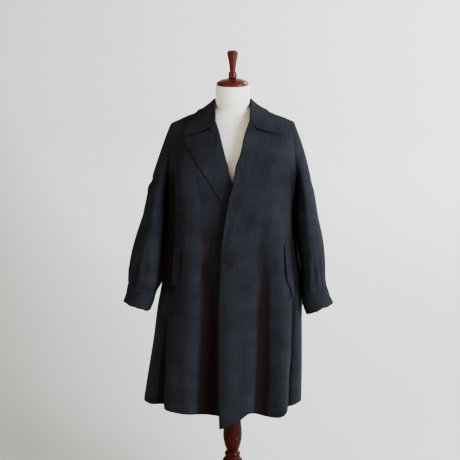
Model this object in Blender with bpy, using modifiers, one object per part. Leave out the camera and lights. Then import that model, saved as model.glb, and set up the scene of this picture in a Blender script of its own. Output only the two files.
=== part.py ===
"""A loose single-breasted overcoat with wide notched lapels, on a limbless dress form with a turned stand.

Metres, +Z up. The floor is z = 0 and the stand's axis is the Z axis. The front faces -Y.
Left and right are the wearer's, so the left front, which laps over, is on the +X side.
"""

import math
from collections import namedtuple

import bmesh
import bpy
from mathutils import Matrix, Vector

# Cloth and seams
WALL = 0.002
SEAM = 0.0005
LAYER = 0.0014
LAPEL_LAYER = 0.0020
TAB_LAYER = 0.0006

# Heights of the coat: hem, shoulder at the neck, and the depth over which the chest rounds over the shoulder
HEM_Z = 0.405
SHOULDER_Z = 1.475
ROUND = 0.200
NECK_HALF = 0.068
NECK_SOFT = 0.030
BACK_NECK = 0.0766
SLOPE_RIGHT = 0.437
SLOPE_LEFT = 0.402
SHOULDER_HALF = 0.2125
RIDGE_Y = 0.004
CHEST_Z = SHOULDER_Z - ROUND

# Armhole, in degrees round the body and in levels from 0 at the hem to 2 at the shoulder seam
UNDERARM_LEVEL = 0.93
ARMHOLE_SQUARENESS = 2.6
SEAM_ANGLE = 0.001

# Hem of the lapped front, which hangs lower at its corner
CORNER_DROP = 0.040
CORNER_X = -0.0425
CORNER_END_X = 0.055

# How the two fronts part where they overlap. A ramp starts at one angle or level and takes a span to grow.
Ramp = namedtuple("Ramp", "start span")
LAP_LIFT = 0.001
LAP_FADE = Ramp(15.0, 25.0)
PROUD_EDGE = 0.010
PROUD_FADE = Ramp(-5.0, 14.0)
PROUD_TOP = Ramp(0.15, 0.50)
UNDER_SINK = 0.0125
SINK_GROWTH = Ramp(-38.0, 30.0)
SINK_TOP = Ramp(0.98, 0.32)

# Mesh counts
FRONT_ACROSS = 16
BACK_ACROSS = 24
SKIRT_ROWS = 9
ARM_ROWS = 10
SLEEVE_CAP_ROWS = 6
SLEEVE_ROWS = 9
TURN_STEPS = 20
BODY_UP = SKIRT_ROWS + ARM_ROWS
SKIRT_SHARE = SKIRT_ROWS / BODY_UP
NECK_SHARE = 8 / BACK_ACROSS
SLEEVE_ROUND = 2 * ARM_ROWS
SIDE_BLEND = 3.0

# The coat's body: half-widths to the wearer's right and left, depths to front and back, and squareness
Section = namedtuple("Section", "height right left front back power")
BODY = [
    Section(0.405, 0.3095, 0.2445, 0.170, 0.190, 2.2),
    Section(0.535, 0.2930, 0.2460, 0.165, 0.178, 2.3),
    Section(0.670, 0.2755, 0.2455, 0.159, 0.165, 2.5),
    Section(0.790, 0.2630, 0.2450, 0.154, 0.154, 2.5),
    Section(0.900, 0.2455, 0.2450, 0.150, 0.145, 2.6),
    Section(1.000, 0.2335, 0.2235, 0.147, 0.138, 2.8),
    Section(1.150, 0.2250, 0.2100, 0.144, 0.130, 3.0),
    Section(1.275, 0.2260, 0.2210, 0.139, 0.126, 3.0),
    Section(1.475, 0.2265, 0.2265, 0.135, 0.125, 3.0),
]

# Long soft folds: where each runs at the hem and at its top, its half-width, and its depth out of the cloth
# at the hem. Minus is a valley. Then the level where it has died out, and how fast it does.
Fold = namedtuple("Fold", "hem_angle top_angle width depth top_level fade")
FOLDS = [
    Fold(-14.0, -20.0, 8.0, -0.022, 1.05, 1.2),
    Fold(-29.0, -30.0, 8.0, 0.008, 0.95, 1.0),
    Fold(-45.0, -47.0, 7.0, 0.010, 0.60, 1.3),
    Fold(-58.0, -58.0, 7.0, -0.036, 0.65, 1.4),
    Fold(-93.0, -92.0, 10.0, 0.010, 0.75, 1.2),
    Fold(26.0, 28.0, 7.5, -0.026, 1.00, 0.9),
    Fold(42.0, 41.0, 7.5, 0.034, 1.05, 1.1),
    Fold(59.0, 58.0, 6.5, -0.040, 0.70, 1.2),
    Fold(93.0, 92.0, 9.0, 0.004, 0.60, 1.0),
    Fold(106.0, 103.0, 8.0, -0.020, 0.75, 1.2),
    Fold(125.0, 122.0, 9.0, 0.018, 0.95, 1.1),
    Fold(145.0, 146.0, 8.5, -0.022, 0.90, 1.1),
    Fold(167.0, 165.0, 10.0, 0.018, 1.00, 1.0),
    Fold(192.0, 193.0, 9.0, -0.018, 0.90, 1.2),
    Fold(213.0, 210.0, 9.0, 0.022, 0.95, 1.1),
    Fold(235.0, 236.0, 8.0, -0.020, 0.85, 1.1),
    Fold(253.0, 251.0, 8.0, 0.010, 0.80, 1.2),
]

# Fullness of the back behind the arms, each side of the centre front: its place round, its half-width in
# degrees, and its depth on the wearer's right and left at each level
Swell = namedtuple("Swell", "level right left")
SWELL_ANGLE = 113.0
SWELL_WIDTH = 13.0
SWELLS = [
    Swell(0.30, 0.0000, 0.0000),
    Swell(0.38, 0.0000, 0.0030),
    Swell(0.44, 0.0010, 0.0165),
    Swell(0.52, 0.0035, 0.0200),
    Swell(0.66, 0.0160, 0.0205),
    Swell(0.78, 0.0190, 0.0170),
    Swell(0.88, 0.0170, 0.0120),
    Swell(1.00, 0.0070, 0.0060),
    Swell(1.15, 0.0000, 0.0000),
]

# How far the hem rises at each place round it, in metres; minus hangs lower
Hem = namedtuple("Hem", "angle rise")
HEM = [
    Hem(-180.0, 0.000),
    Hem(-90.0, 0.000),
    Hem(-76.0, 0.005),
    Hem(-62.0, 0.008),
    Hem(-50.0, 0.008),
    Hem(-38.0, 0.004),
    Hem(-26.0, -0.003),
    Hem(-14.0, -0.009),
    Hem(5.0, -0.004),
    Hem(14.0, 0.006),
    Hem(27.0, -0.010),
    Hem(36.0, -0.009),
    Hem(42.0, 0.003),
    Hem(46.0, 0.012),
    Hem(52.0, 0.008),
    Hem(60.0, -0.003),
    Hem(71.0, 0.008),
    Hem(90.0, 0.000),
    Hem(180.0, 0.000),
]

# Front edge below the break and roll line above it, as heights and places across
Edge = namedtuple("Edge", "z x")
LEFT_EDGE = [
    Edge(0.405, -0.0430),
    Edge(0.595, -0.0470),
    Edge(0.826, -0.0484),
    Edge(0.902, -0.0456),
    Edge(1.001, -0.0383),
    Edge(1.075, -0.0285),
    Edge(1.173, -0.0130),
    Edge(1.218, -0.0003),
    Edge(1.320, 0.0243),
    Edge(1.381, 0.0382),
    Edge(1.417, 0.0505),
    Edge(1.430, 0.0600),
]
RIGHT_EDGE = [
    Edge(0.405, 0.0610),
    Edge(0.826, 0.0610),
    Edge(1.001, 0.0580),
    Edge(1.110, 0.0280),
    Edge(1.218, -0.0006),
    Edge(1.279, -0.0165),
    Edge(1.349, -0.0335),
    Edge(1.412, -0.0505),
    Edge(1.430, -0.0600),
]
BREAK_Z = 1.001

# Outer edge of each lapel, from the break to its point, and the corner of the gorge where the notch begins
LEFT_LAPEL = [
    Edge(1.001, -0.0330),
    Edge(1.0735, 0.0079),
    Edge(1.1159, 0.0270),
    Edge(1.1612, 0.0455),
    Edge(1.2291, 0.0740),
    Edge(1.3121, 0.1190),
    Edge(1.3680, 0.1634),
]
RIGHT_LAPEL = [
    Edge(1.001, 0.0530),
    Edge(1.1311, -0.0226),
    Edge(1.1760, -0.0500),
    Edge(1.2291, -0.0816),
    Edge(1.2960, -0.1240),
    Edge(1.3680, -0.1690),
]
LAPEL_ACROSS = 7
LAPEL_UP = 13
LAPEL_BULGE = 0.0035
NOTCH_SHARE = 0.17
GORGE_DIP = 0.0125
GORGE_SEAM = 0.004
GORGE_FADE = 6
BULGE_RISE = 4.0
LEAN_STEP = 0.004
Wrap = namedtuple("Wrap", "into lift")
LAPEL_WRAP = [Wrap(0.0043, -0.0012), Wrap(0.0037, 0.0026)]

# Collar with its stand, from the notch round to the centre back on the wearer's left: where the stand meets
# the neckline, how far the fold's crest is from there, and the outer edge. Turns are degrees over the
# shoulder, 0 on the shoulder line and minus behind it.
CollarRow = namedtuple("CollarRow", "place neck_x neck_turn crest_x crest_y crest_z edge_x edge_turn")
COLLAR = [
    CollarRow(0.00, 0.0570, 38.5, 0.0010, -0.0060, 0.0030, 0.1640, 43.5),
    CollarRow(0.20, 0.0600, 27.0, -0.0003, -0.0020, 0.0060, 0.1530, 30.5),
    CollarRow(0.38, 0.0620, 13.0, -0.0007, 0.0000, 0.0090, 0.1340, 16.5),
    CollarRow(0.55, 0.0625, 0.0, 0.0000, 0.0000, 0.0100, 0.1150, 0.0),
    CollarRow(0.72, 0.0555, -17.0, 0.0000, -0.0020, 0.0200, 0.0990, -22.0),
    CollarRow(0.86, 0.0330, -30.9, 0.0000, -0.0040, 0.0290, 0.0560, -42.0),
    CollarRow(1.00, 0.0000, -35.5, 0.0000, -0.0050, 0.0330, 0.0000, -49.0),
]
COLLAR_ALONG = 13
LEAF_ACROSS = 7
COLLAR_LIFT = 0.0031
CREST_R = 0.0030
STAND_SINK = 0.0020
STAND_ROOM = 0.0060
CREST_TURNS = (180.0, 130.0, 85.0, 40.0)
LEAF_FALL = 1.6
GORGE_DIP_DEG = 7.5
GORGE_DIP_SHARE = 0.25
ARCH_STEP = 0.002
ARCH_TURN = 1.0

# Front tab that holds the lapped edge: its top and bottom edges at each place across
TabColumn = namedtuple("TabColumn", "x top bottom")
TAB = [
    TabColumn(-0.0415, 0.9935, 0.9605),
    TabColumn(-0.0213, 0.9905, 0.9510),
    TabColumn(-0.0125, 0.9892, 0.9440),
    TabColumn(-0.0040, 0.9880, 0.9366),
    TabColumn(0.0080, 0.9862, 0.9460),
    TabColumn(0.0170, 0.9850, 0.9540),
]
TAB_ROWS = 3

# Slanted pocket flaps: the front line of each, lower end first, and their width in degrees round the body
LEFT_POCKET = [
    Edge(0.816, 0.1975),
    Edge(0.846, 0.1915),
    Edge(0.882, 0.1803),
    Edge(0.910, 0.1762),
    Edge(0.960, 0.1737),
    Edge(1.009, 0.1727),
]
RIGHT_POCKET = [
    Edge(0.860, 0.1865),
    Edge(1.005, 0.1765),
]
POCKET_WIDTH_DEG = 9.0
FLAP_ROWS = 16
FLAP_COLUMNS = 4
FLAP_LIFT = 0.0002
BUTTON_DOWN = 0.66
BUTTON_BACK = 0.45
BUTTON_SIDES = 16
BUTTON_TAPER = 0.9
POCKET_BUTTON_R = 0.0095
POCKET_BUTTON_H = 0.0030
BUTTON_GAP = 0.0004

# Sleeves from below the armhole to the cuff seam, then the cuff: ring centres, half-widths, half-depths,
# tilts, which are degrees that the outer side is higher, and pitches, degrees that the front is higher
Ring = namedtuple("Ring", "z x y half_width half_depth tilt pitch")
RIGHT_SLEEVE = [
    Ring(1.085, -0.2735, -0.0080, 0.0405, 0.0800, 7.0, 0.0),
    Ring(1.010, -0.2880, -0.0150, 0.0500, 0.0750, 9.0, 0.0),
    Ring(0.950, -0.2975, -0.0240, 0.0570, 0.0700, 9.0, 1.0),
    Ring(0.892, -0.3055, -0.0340, 0.0595, 0.0640, 10.0, 2.0),
    Ring(0.866, -0.3085, -0.0400, 0.0580, 0.0590, 12.0, 3.0),
    Ring(0.840, -0.3150, -0.0460, 0.0520, 0.0490, 14.0, 4.0),
]
RIGHT_CUFF = [
    Ring(0.8394, -0.3151, -0.0461, 0.0520, 0.0490, 14.0, 4.0),
    Ring(0.807, -0.3240, -0.0490, 0.0510, 0.0460, 16.5, 4.0),
    Ring(0.775, -0.3345, -0.0520, 0.0500, 0.0440, 19.0, 4.0),
]
LEFT_SLEEVE = [
    Ring(1.085, 0.2570, -0.0080, 0.0405, 0.0800, 7.0, 0.0),
    Ring(1.010, 0.2705, -0.0150, 0.0440, 0.0750, 8.0, 0.0),
    Ring(0.950, 0.2808, -0.0240, 0.0412, 0.0710, 10.0, 2.0),
    Ring(0.892, 0.2850, -0.0350, 0.0405, 0.0660, 12.0, 4.0),
    Ring(0.858, 0.2852, -0.0420, 0.0423, 0.0590, 16.0, 6.0),
    Ring(0.828, 0.2875, -0.0470, 0.0450, 0.0500, 20.0, 8.0),
]
LEFT_CUFF = [
    Ring(0.8271, 0.2877, -0.0471, 0.0451, 0.0500, 20.0, 8.0),
    Ring(0.795, 0.2950, -0.0485, 0.0480, 0.0470, 22.0, 9.0),
    Ring(0.763, 0.3060, -0.0510, 0.0500, 0.0450, 23.7, 10.0),
]

# How far out the sleeve cap leaves the armhole, and how much further at the shoulder
CAP_OUT = 0.28
CAP_OUT_TOP = 0.13

# Dress form from the hip to the top of the neck: half-widths, depths, and how sharply it thins to its sides
FormRow = namedtuple("FormRow", "z half front back taper")
FORM = [
    FormRow(0.800, 0.152, 0.100, 0.104, 1.0),
    FormRow(0.850, 0.166, 0.110, 0.118, 1.0),
    FormRow(0.920, 0.170, 0.114, 0.122, 1.0),
    FormRow(1.000, 0.158, 0.110, 0.108, 1.0),
    FormRow(1.090, 0.143, 0.104, 0.094, 1.0),
    FormRow(1.180, 0.156, 0.110, 0.098, 1.0),
    FormRow(1.260, 0.176, 0.116, 0.106, 1.0),
    FormRow(1.330, 0.192, 0.108, 0.104, 1.0),
    FormRow(1.370, 0.198, 0.094, 0.094, 1.1),
    FormRow(1.395, 0.194, 0.080, 0.084, 1.3),
    FormRow(1.410, 0.184, 0.072, 0.074, 1.5),
    FormRow(1.4287, 0.160, 0.0640, 0.0640, 1.8),
    FormRow(1.4482, 0.1185, 0.0597, 0.0587, 1.9),
    FormRow(1.4590, 0.090, 0.0590, 0.0583, 1.6),
    FormRow(1.4640, 0.0680, 0.0585, 0.0583, 1.2),
    FormRow(1.4700, 0.0600, 0.0583, 0.0583, 1.0),
    FormRow(1.500, 0.0587, 0.0583, 0.0583, 1.0),
    FormRow(1.5415, 0.0583, 0.0583, 0.0583, 1.0),
]
FORM_ROUND = 32
NECK_START = Ramp(1.44, 0.05)

# Turned pieces, each as a profile from the bottom up
Turn = namedtuple("Turn", "radius z")
NECK_CAP = [
    Turn(0.0000, 1.5420),
    Turn(0.0520, 1.5420),
    Turn(0.0555, 1.5455),
    Turn(0.0555, 1.5500),
    Turn(0.0500, 1.5560),
    Turn(0.0330, 1.5630),
    Turn(0.0150, 1.5665),
    Turn(0.0000, 1.5665),
]
FINIAL = [
    Turn(0.0000, 1.5669),
    Turn(0.0135, 1.5669),
    Turn(0.0145, 1.5700),
    Turn(0.0142, 1.5840),
    Turn(0.0128, 1.5875),
    Turn(0.0098, 1.5905),
    Turn(0.0110, 1.6050),
    Turn(0.0150, 1.6300),
    Turn(0.0192, 1.6500),
    Turn(0.0194, 1.6540),
    Turn(0.0150, 1.6600),
    Turn(0.0000, 1.6625),
]
POLE = [
    Turn(0.0000, 0.0455),
    Turn(0.0400, 0.0455),
    Turn(0.0400, 0.0560),
    Turn(0.0270, 0.0720),
    Turn(0.0235, 0.1000),
    Turn(0.0290, 0.1250),
    Turn(0.0375, 0.1500),
    Turn(0.0385, 0.1660),
    Turn(0.0345, 0.1830),
    Turn(0.0270, 0.1905),
    Turn(0.0262, 0.1960),
    Turn(0.0288, 0.2030),
    Turn(0.0262, 0.2105),
    Turn(0.0205, 0.2150),
    Turn(0.0272, 0.2320),
    Turn(0.0330, 0.2560),
    Turn(0.0345, 0.2800),
    Turn(0.0328, 0.3080),
    Turn(0.0282, 0.3400),
    Turn(0.0226, 0.3900),
    Turn(0.0200, 0.4500),
    Turn(0.0200, 0.7996),
    Turn(0.0000, 0.7996),
]
BASE = [
    Turn(0.0000, 0.0000),
    Turn(0.1750, 0.0000),
    Turn(0.1800, 0.0060),
    Turn(0.1800, 0.0200),
    Turn(0.1700, 0.0280),
    Turn(0.0900, 0.0340),
    Turn(0.0700, 0.0400),
    Turn(0.0620, 0.0450),
    Turn(0.0000, 0.0450),
]

COLOURS = {
    "overcoat cloth": ((0.016, 0.018, 0.024, 1.0), 0.85),
    "form cloth": ((0.72, 0.70, 0.65, 1.0), 0.80),
    "turned mahogany": ((0.115, 0.018, 0.013, 1.0), 0.30),
    "tab cloth": ((0.008, 0.008, 0.010, 1.0), 0.85),
    "button horn": ((0.020, 0.018, 0.018, 1.0), 0.40),
}


def smooth(value):
    """0 below 0, 1 above 1, and an S curve between."""
    held = min(1.0, max(0.0, value))
    return held * held * (3 - 2 * held)


def read_table(rows, at):
    """The row at one place on smooth curves through a table's rows; the first column is the place."""
    last = len(rows) - 2
    i = next((k for k in range(last) if at < rows[k + 1][0]), last)
    low, high = rows[i], rows[i + 1]
    step = high[0] - low[0]
    t = min(1.0, max(0.0, (at - low[0]) / step))
    before = rows[i - 1] if i > 0 else low
    after = rows[i + 2] if i < last else high
    values = []
    for column in range(len(low)):
        slope_low = (high[column] - before[column]) / (high[0] - before[0])
        slope_high = (after[column] - low[column]) / (after[0] - low[0])
        values.append(
            low[column] * (1 + 2 * t) * (1 - t) ** 2
            + high[column] * t * t * (3 - 2 * t)
            + slope_low * step * t * (1 - t) ** 2
            - slope_high * step * t * t * (1 - t)
        )
    return type(low)(*values)


def ramp(value, along):
    """How far a value is along a ramp, from 0 to 1."""
    return smooth((value - along.start) / along.span)


def fold_depth(angle, level):
    """How far the long folds carry the cloth out, in metres."""
    total = 0.0
    for fold in FOLDS:
        if level >= fold.top_level:
            continue
        share = level / fold.top_level
        centre = fold.hem_angle + (fold.top_angle - fold.hem_angle) * share
        away = (angle - centre + 180) % 360 - 180
        total += fold.depth * (1 - share) ** fold.fade * math.exp(-((away / fold.width) ** 2))
    around = (angle + 180) % 360 - 180
    swell = read_table(SWELLS, level)
    depth = swell.left if around > 0 else swell.right
    return total + depth * math.exp(-(((abs(around) - SWELL_ANGLE) / SWELL_WIDTH) ** 2))


def shoulder_height(x):
    """Height of the shoulder line at one place across."""
    slope = SLOPE_LEFT + (SLOPE_RIGHT - SLOPE_LEFT) * smooth((NECK_HALF - x) / (2 * NECK_HALF))
    return SHOULDER_Z - slope * (math.hypot(x, NECK_SOFT) - NECK_HALF)


def nominal_height(level):
    """Height that the body table is read at: level 0 is the hem, 1 the chest and 2 the shoulder."""
    if level <= 1:
        return HEM_Z + (CHEST_Z - HEM_Z) * level
    return SHOULDER_Z - ROUND * (1 - math.cos(math.radians(90 * (2 - level))))


def signed_power(value, exponent):
    return math.copysign(abs(value) ** exponent, value)


def bare_point(angle, level, drop=0.0):
    """A point on the coat's outside. Angle 0 is the centre front, 90 the wearer's left side."""
    row = read_table(BODY, nominal_height(level))
    sine, cosine = math.sin(math.radians(angle)), math.cos(math.radians(angle))
    half = row.left if sine >= 0 else row.right
    depth = row.front if cosine >= 0 else row.back
    reach = (abs(sine) ** row.power + abs(cosine) ** row.power) ** (-1 / row.power)
    across, along = sine * reach, -cosine * reach
    normal = Vector((signed_power(across, row.power - 1) / half, signed_power(along, row.power - 1) / depth))
    normal.normalize()
    depth_of_fold = fold_depth(angle, level)
    x = half * across + normal.x * depth_of_fold
    y = depth * along + normal.y * depth_of_fold
    top = shoulder_height(x)
    if level <= 1:
        hem = HEM_Z - drop + read_table(HEM, (angle + 180) % 360 - 180).rise
        z = hem + (top - ROUND - hem) * level
    else:
        turn = math.radians(90 * (2 - level))
        y *= math.sin(turn)
        z = top - ROUND * (1 - math.cos(turn))
    seam = -SEAM / 2 if cosine >= 0 else SEAM / 2
    return Vector((x, y + RIDGE_Y + seam, z))


def normal_at(angle, level, drop=0.0):
    """The coat's outward normal, from its slopes round and up."""
    step_angle, step_level = 0.4, 0.01
    low, high = max(0.0, level - step_level), min(2.0, level + step_level)
    front = math.cos(math.radians(angle)) >= 0
    before, after = angle - step_angle, angle + step_angle
    if (math.cos(math.radians(before)) >= 0) != front:
        before = angle
    if (math.cos(math.radians(after)) >= 0) != front:
        after = angle
    round_it = bare_point(after, level, drop) - bare_point(before, level, drop)
    up_it = bare_point(angle, high, drop) - bare_point(angle, low, drop)
    return round_it.cross(up_it).normalized()


def coat_point(angle, level, lift=0.0, drop=0.0):
    """A point at a height above the coat's outside."""
    return bare_point(angle, level, drop) + normal_at(angle, level, drop) * lift


def angle_across(x, level):
    """Degrees from the centre front to a place across, on one level of the unfolded coat."""
    row = read_table(BODY, nominal_height(level))
    across = min(1.0, abs(x) / (row.left if x >= 0 else row.right))
    return math.degrees(math.atan2(across, (1 - across ** row.power) ** (1 / row.power)))


def place_of(x, z):
    """Angle and level of the place on the front that is at x and z."""
    top = shoulder_height(x)
    below = top - z
    if below < ROUND:
        level = 2 - math.degrees(math.acos(1 - below / ROUND)) / 90
    else:
        level = (z - HEM_Z) / (top - ROUND - HEM_Z)
    return math.copysign(angle_across(x, level), x), level


def left_layer(angle, level):
    """The lapped front's lift: it passes over the other front, and below the break its edge stands proud."""
    over = LAP_LIFT * (1 - ramp(angle, LAP_FADE))
    proud = PROUD_EDGE * (1 - ramp(angle, PROUD_FADE)) * (1 - ramp(level, PROUD_TOP))
    return over + proud


def right_layer(angle, level):
    """The under front's lift: it sinks below the lapped one, up to where the two part."""
    return -UNDER_SINK * ramp(angle, SINK_GROWTH) * (1 - ramp(level, SINK_TOP))


def corner_drop(angle, level):
    """How far the lapped front's hem hangs below the rest, most at its corner."""
    x = bare_point(angle, 0.0).x
    return CORNER_DROP * min(1.0, max(0.0, (CORNER_END_X - x) / (CORNER_END_X - CORNER_X)))


def armhole_place(turn, side):
    """Angle and level on the armhole. Turn 0 is the shoulder, 90 the underarm; side is 1 for the front."""
    top_angle = angle_across(SHOULDER_HALF, 2.0)
    open_share = signed_power(math.cos(math.radians(turn)), 2 / ARMHOLE_SQUARENESS)
    down_share = signed_power(math.sin(math.radians(turn)), 2 / ARMHOLE_SQUARENESS)
    angle = 90 - side * (SEAM_ANGLE + (90 - SEAM_ANGLE - top_angle) * open_share)
    return angle, 2 - (2 - UNDERARM_LEVEL) * down_share


def even_level(v):
    """Level at a share of the way up a panel, evenly spaced below the underarm and again above it."""
    if v <= SKIRT_SHARE:
        return UNDERARM_LEVEL * v / SKIRT_SHARE
    return UNDERARM_LEVEL + (2 - UNDERARM_LEVEL) * (v - SKIRT_SHARE) / (1 - SKIRT_SHARE)


def panel_places(first, last, across, top_bend=None):
    """Rows of (angle, level) pairs between a panel's two side curves; a bend shapes its top edge."""
    rows = []
    for j in range(BODY_UP + 1):
        v = j / BODY_UP
        start, end = first(v), last(v)
        above = max(0.0, (v - SKIRT_SHARE) / (1 - SKIRT_SHARE)) ** 3
        row = []
        for i in range(across + 1):
            u = i / across
            angle = start[0] + (end[0] - start[0]) * u
            level = start[1] + (end[1] - start[1]) * u
            if top_bend:
                bend = top_bend(u)
                level += (even_level(v) - level) * smooth(SIDE_BLEND * min(u, 1 - u))
                angle += bend[0] * above
                level += bend[1] * above
            row.append((angle, level))
        rows.append(row)
    return rows


def side_edge(side, mirrored):
    """The curve up a side seam and round the armhole; side is 1 for a front panel and -1 for the back."""

    def curve(v):
        if v <= SKIRT_SHARE:
            angle, level = 90 - side * SEAM_ANGLE, even_level(v)
        else:
            turn = 90 * (1 - v) / (1 - SKIRT_SHARE)
            angle, level = armhole_place(turn, side)
        return (-angle if mirrored else angle), level

    return curve


def front_edge(rows, neck_x):
    """The curve up a front edge, along its roll line and round to the shoulder at the neck."""
    Place = namedtuple("Place", "level angle")
    places = []
    for edge in rows:
        angle, level = place_of(edge.x, edge.z)
        places.append(Place(level, angle))
    neck_angle = place_of(neck_x, shoulder_height(neck_x))[0]
    places.append(Place(2.0, neck_angle))

    def curve(v):
        level = even_level(v)
        return read_table(places, level).angle, level

    return curve


def panel_edge_place(rows, neck_x, z):
    """Angle and level of a front panel's edge at one height, straight between the panel's own rows."""
    level = place_of(read_table(rows, z).x, z)[1]
    if level <= UNDERARM_LEVEL:
        v = SKIRT_SHARE * level / UNDERARM_LEVEL
    else:
        v = SKIRT_SHARE + (1 - SKIRT_SHARE) * (level - UNDERARM_LEVEL) / (2 - UNDERARM_LEVEL)
    k = min(BODY_UP - 1, int(v * BODY_UP))
    curve = front_edge(rows, neck_x)
    low, high = curve(k / BODY_UP), curve((k + 1) / BODY_UP)
    return low[0] + (high[0] - low[0]) * (level - low[1]) / (high[1] - low[1]), level


def add_sheet(name, grid, material, closed=False):
    """A cloth wall from rows of points on its outside; a closed one joins the last column to the first."""
    mesh = bpy.data.meshes.new(name)
    shape = bmesh.new()
    rows = [[shape.verts.new(point) for point in row] for row in grid]
    columns = len(rows[0])
    for low, high in zip(rows, rows[1:]):
        for i in range(columns if closed else columns - 1):
            k = (i + 1) % columns
            shape.faces.new((low[i], low[k], high[k], high[i]))
    shape.to_mesh(mesh)
    shape.free()
    mesh.shade_smooth()
    obj = link(name, mesh, material)
    solidify = obj.modifiers.new("wall", "SOLIDIFY")
    solidify.thickness = WALL
    solidify.offset = -1.0
    return obj


def add_panel(name, outer_face, inner_face, material):
    """A closed wall between rows of points on a panel's two faces."""
    mesh = bpy.data.meshes.new(name)
    shape = bmesh.new()
    outer = [[shape.verts.new(point) for point in row] for row in outer_face]
    inner = [[shape.verts.new(point) for point in row] for row in inner_face]
    up, across = len(outer), len(outer[0])
    for j in range(up - 1):
        for i in range(across - 1):
            shape.faces.new((outer[j][i], outer[j][i + 1], outer[j + 1][i + 1], outer[j + 1][i]))
            shape.faces.new((inner[j][i], inner[j + 1][i], inner[j + 1][i + 1], inner[j][i + 1]))
    rim = [(0, i) for i in range(across)] + [(j, across - 1) for j in range(1, up)]
    rim += [(up - 1, i) for i in range(across - 2, -1, -1)] + [(j, 0) for j in range(up - 2, 0, -1)]
    for (j, i), (n, m) in zip(rim, rim[1:] + rim[:1]):
        shape.faces.new((outer[j][i], inner[j][i], inner[n][m], outer[n][m]))
    shape.to_mesh(mesh)
    shape.free()
    mesh.shade_smooth()
    return link(name, mesh, material)


def link(name, data, material):
    obj = bpy.data.objects.new(name, data)
    data.materials.append(material)
    bpy.data.collections["overcoat"].objects.link(obj)
    return obj


def add_turned(name, profile, material):
    """A turned piece from its profile, given from the bottom up."""
    mesh = bpy.data.meshes.new(name)
    points = [(row.radius, 0.0, row.z) for row in reversed(profile)]
    mesh.from_pydata(points, [(i, i + 1) for i in range(len(points) - 1)], [])
    obj = link(name, mesh, material)
    screw = obj.modifiers.new("turn", "SCREW")
    screw.axis = "Z"
    screw.steps = TURN_STEPS
    screw.render_steps = TURN_STEPS
    screw.use_merge_vertices = True
    screw.merge_threshold = 0.0001
    screw.use_smooth_shade = True
    return obj


def add_front(name, edge_rows, layer, drop, neck_x, mirrored, material):
    """A front panel from its edge to the side seam, up to the shoulder."""
    inner = front_edge(edge_rows, neck_x)
    outer = side_edge(1, mirrored)
    start, end = (outer, inner) if mirrored else (inner, outer)
    outer_face, inner_face = [], []
    for row in panel_places(start, end, FRONT_ACROSS):
        lifts = [(a, b, layer(a, b), drop(a, b) if drop else 0.0) for a, b in row]
        outer_face.append([coat_point(a, b, lift, hang) for a, b, lift, hang in lifts])
        inner_face.append([coat_point(a, b, lift - WALL, hang) for a, b, lift, hang in lifts])
    return add_panel(name, outer_face, inner_face, material)


def back_neck_place(turn):
    """Angle and level on the back neckline; turn 0 is the shoulder and 90 the centre back."""
    row = read_table(BODY, SHOULDER_Z)
    x = NECK_HALF * math.cos(math.radians(turn))
    depth = row.back * (1 - (x / row.left) ** row.power) ** (1 / row.power)
    over = math.asin(BACK_NECK * math.sin(math.radians(turn)) / depth)
    return 180 - angle_across(x, 2.0), 2 - math.degrees(over) / 90


def add_back(material):
    """The back panel, from side seam to side seam, with the neckline scooped behind the neck."""
    first, mirror = side_edge(-1, False), side_edge(-1, True)
    arm_angle, neck_angle = first(1)[0], back_neck_place(0.0)[0]

    def last(v):
        return 360 + mirror(v)[0], mirror(v)[1]

    def top_bend(u):
        share = abs(2 * u - 1)
        if share < NECK_SHARE:
            angle, level = back_neck_place(90 * (1 - share / NECK_SHARE))
        else:
            angle = neck_angle + (arm_angle - neck_angle) * (share - NECK_SHARE) / (1 - NECK_SHARE)
            level = 2.0
        bend = angle - (180 + (arm_angle - 180) * share)
        return (bend if u < 0.5 else -bend), level - 2

    places = panel_places(first, last, BACK_ACROSS, top_bend)
    outer_face = [[coat_point(a, b) for a, b in row] for row in places]
    inner_face = [[coat_point(a, b, -WALL) for a, b in row] for row in places]
    return add_panel("back", outer_face, inner_face, material)


def lapel_grid(edge_rows, outer_rows, layer, mirrored):
    """A lapel turned out on its front: round the roll line, out to its edge and up to the gorge."""
    sign = -1 if mirrored else 1
    grid = []
    top_roll = edge_rows[-1]
    for j in range(LAPEL_UP + 1):
        v = j / LAPEL_UP
        roll_z = BREAK_Z + (top_roll.z - GORGE_SEAM - BREAK_Z) * v
        outer_z = BREAK_Z + (outer_rows[-1].z - BREAK_Z) * v
        angle, level = panel_edge_place(edge_rows, sign * NECK_HALF, roll_z)
        edge = bare_point(angle, level)
        roll = (edge.x, edge.z)
        outer = (read_table(outer_rows, outer_z).x, outer_z)
        above = read_table(edge_rows, roll_z + LEAN_STEP).x
        below = read_table(edge_rows, roll_z - LEAN_STEP).x
        lean = (above - below) / (2 * LEAN_STEP)
        row = []
        for wrap in LAPEL_WRAP:
            beyond = place_of(edge.x - sign * wrap.into * math.hypot(1.0, lean), edge.z)
            row.append(coat_point(*beyond, layer(*beyond) + wrap.lift))
        for i in range(LAPEL_ACROSS + 1):
            u = i / LAPEL_ACROSS
            x = roll[0] + (outer[0] - roll[0]) * u
            z = roll[1] + (outer[1] - roll[1]) * u
            z -= GORGE_DIP * gorge_bend(u) * v ** GORGE_FADE
            angle, level = place_of(x, z)
            bulge = LAPEL_BULGE * (1 - u) ** 2 * smooth(v * BULGE_RISE)
            row.append(coat_point(angle, level, layer(angle, level) + LAPEL_LAYER + WALL + bulge))
        grid.append(row[::-1] if mirrored else row)
    return grid


def gorge_bend(u):
    """How the gorge dips from the roll line to the notch and rises again to the point, between 0 and 1."""
    return u / NOTCH_SHARE if u < NOTCH_SHARE else (1 - u) / (1 - NOTCH_SHARE)


def arch_bare(x, turn):
    """A point on the coat's outside near the shoulder, from its place across and turn over the shoulder."""
    level = 2 - abs(turn) / 90
    angle = angle_across(x, level) if turn >= 0 else 180 - angle_across(x, level)
    return bare_point(math.copysign(angle, x), level)


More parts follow.
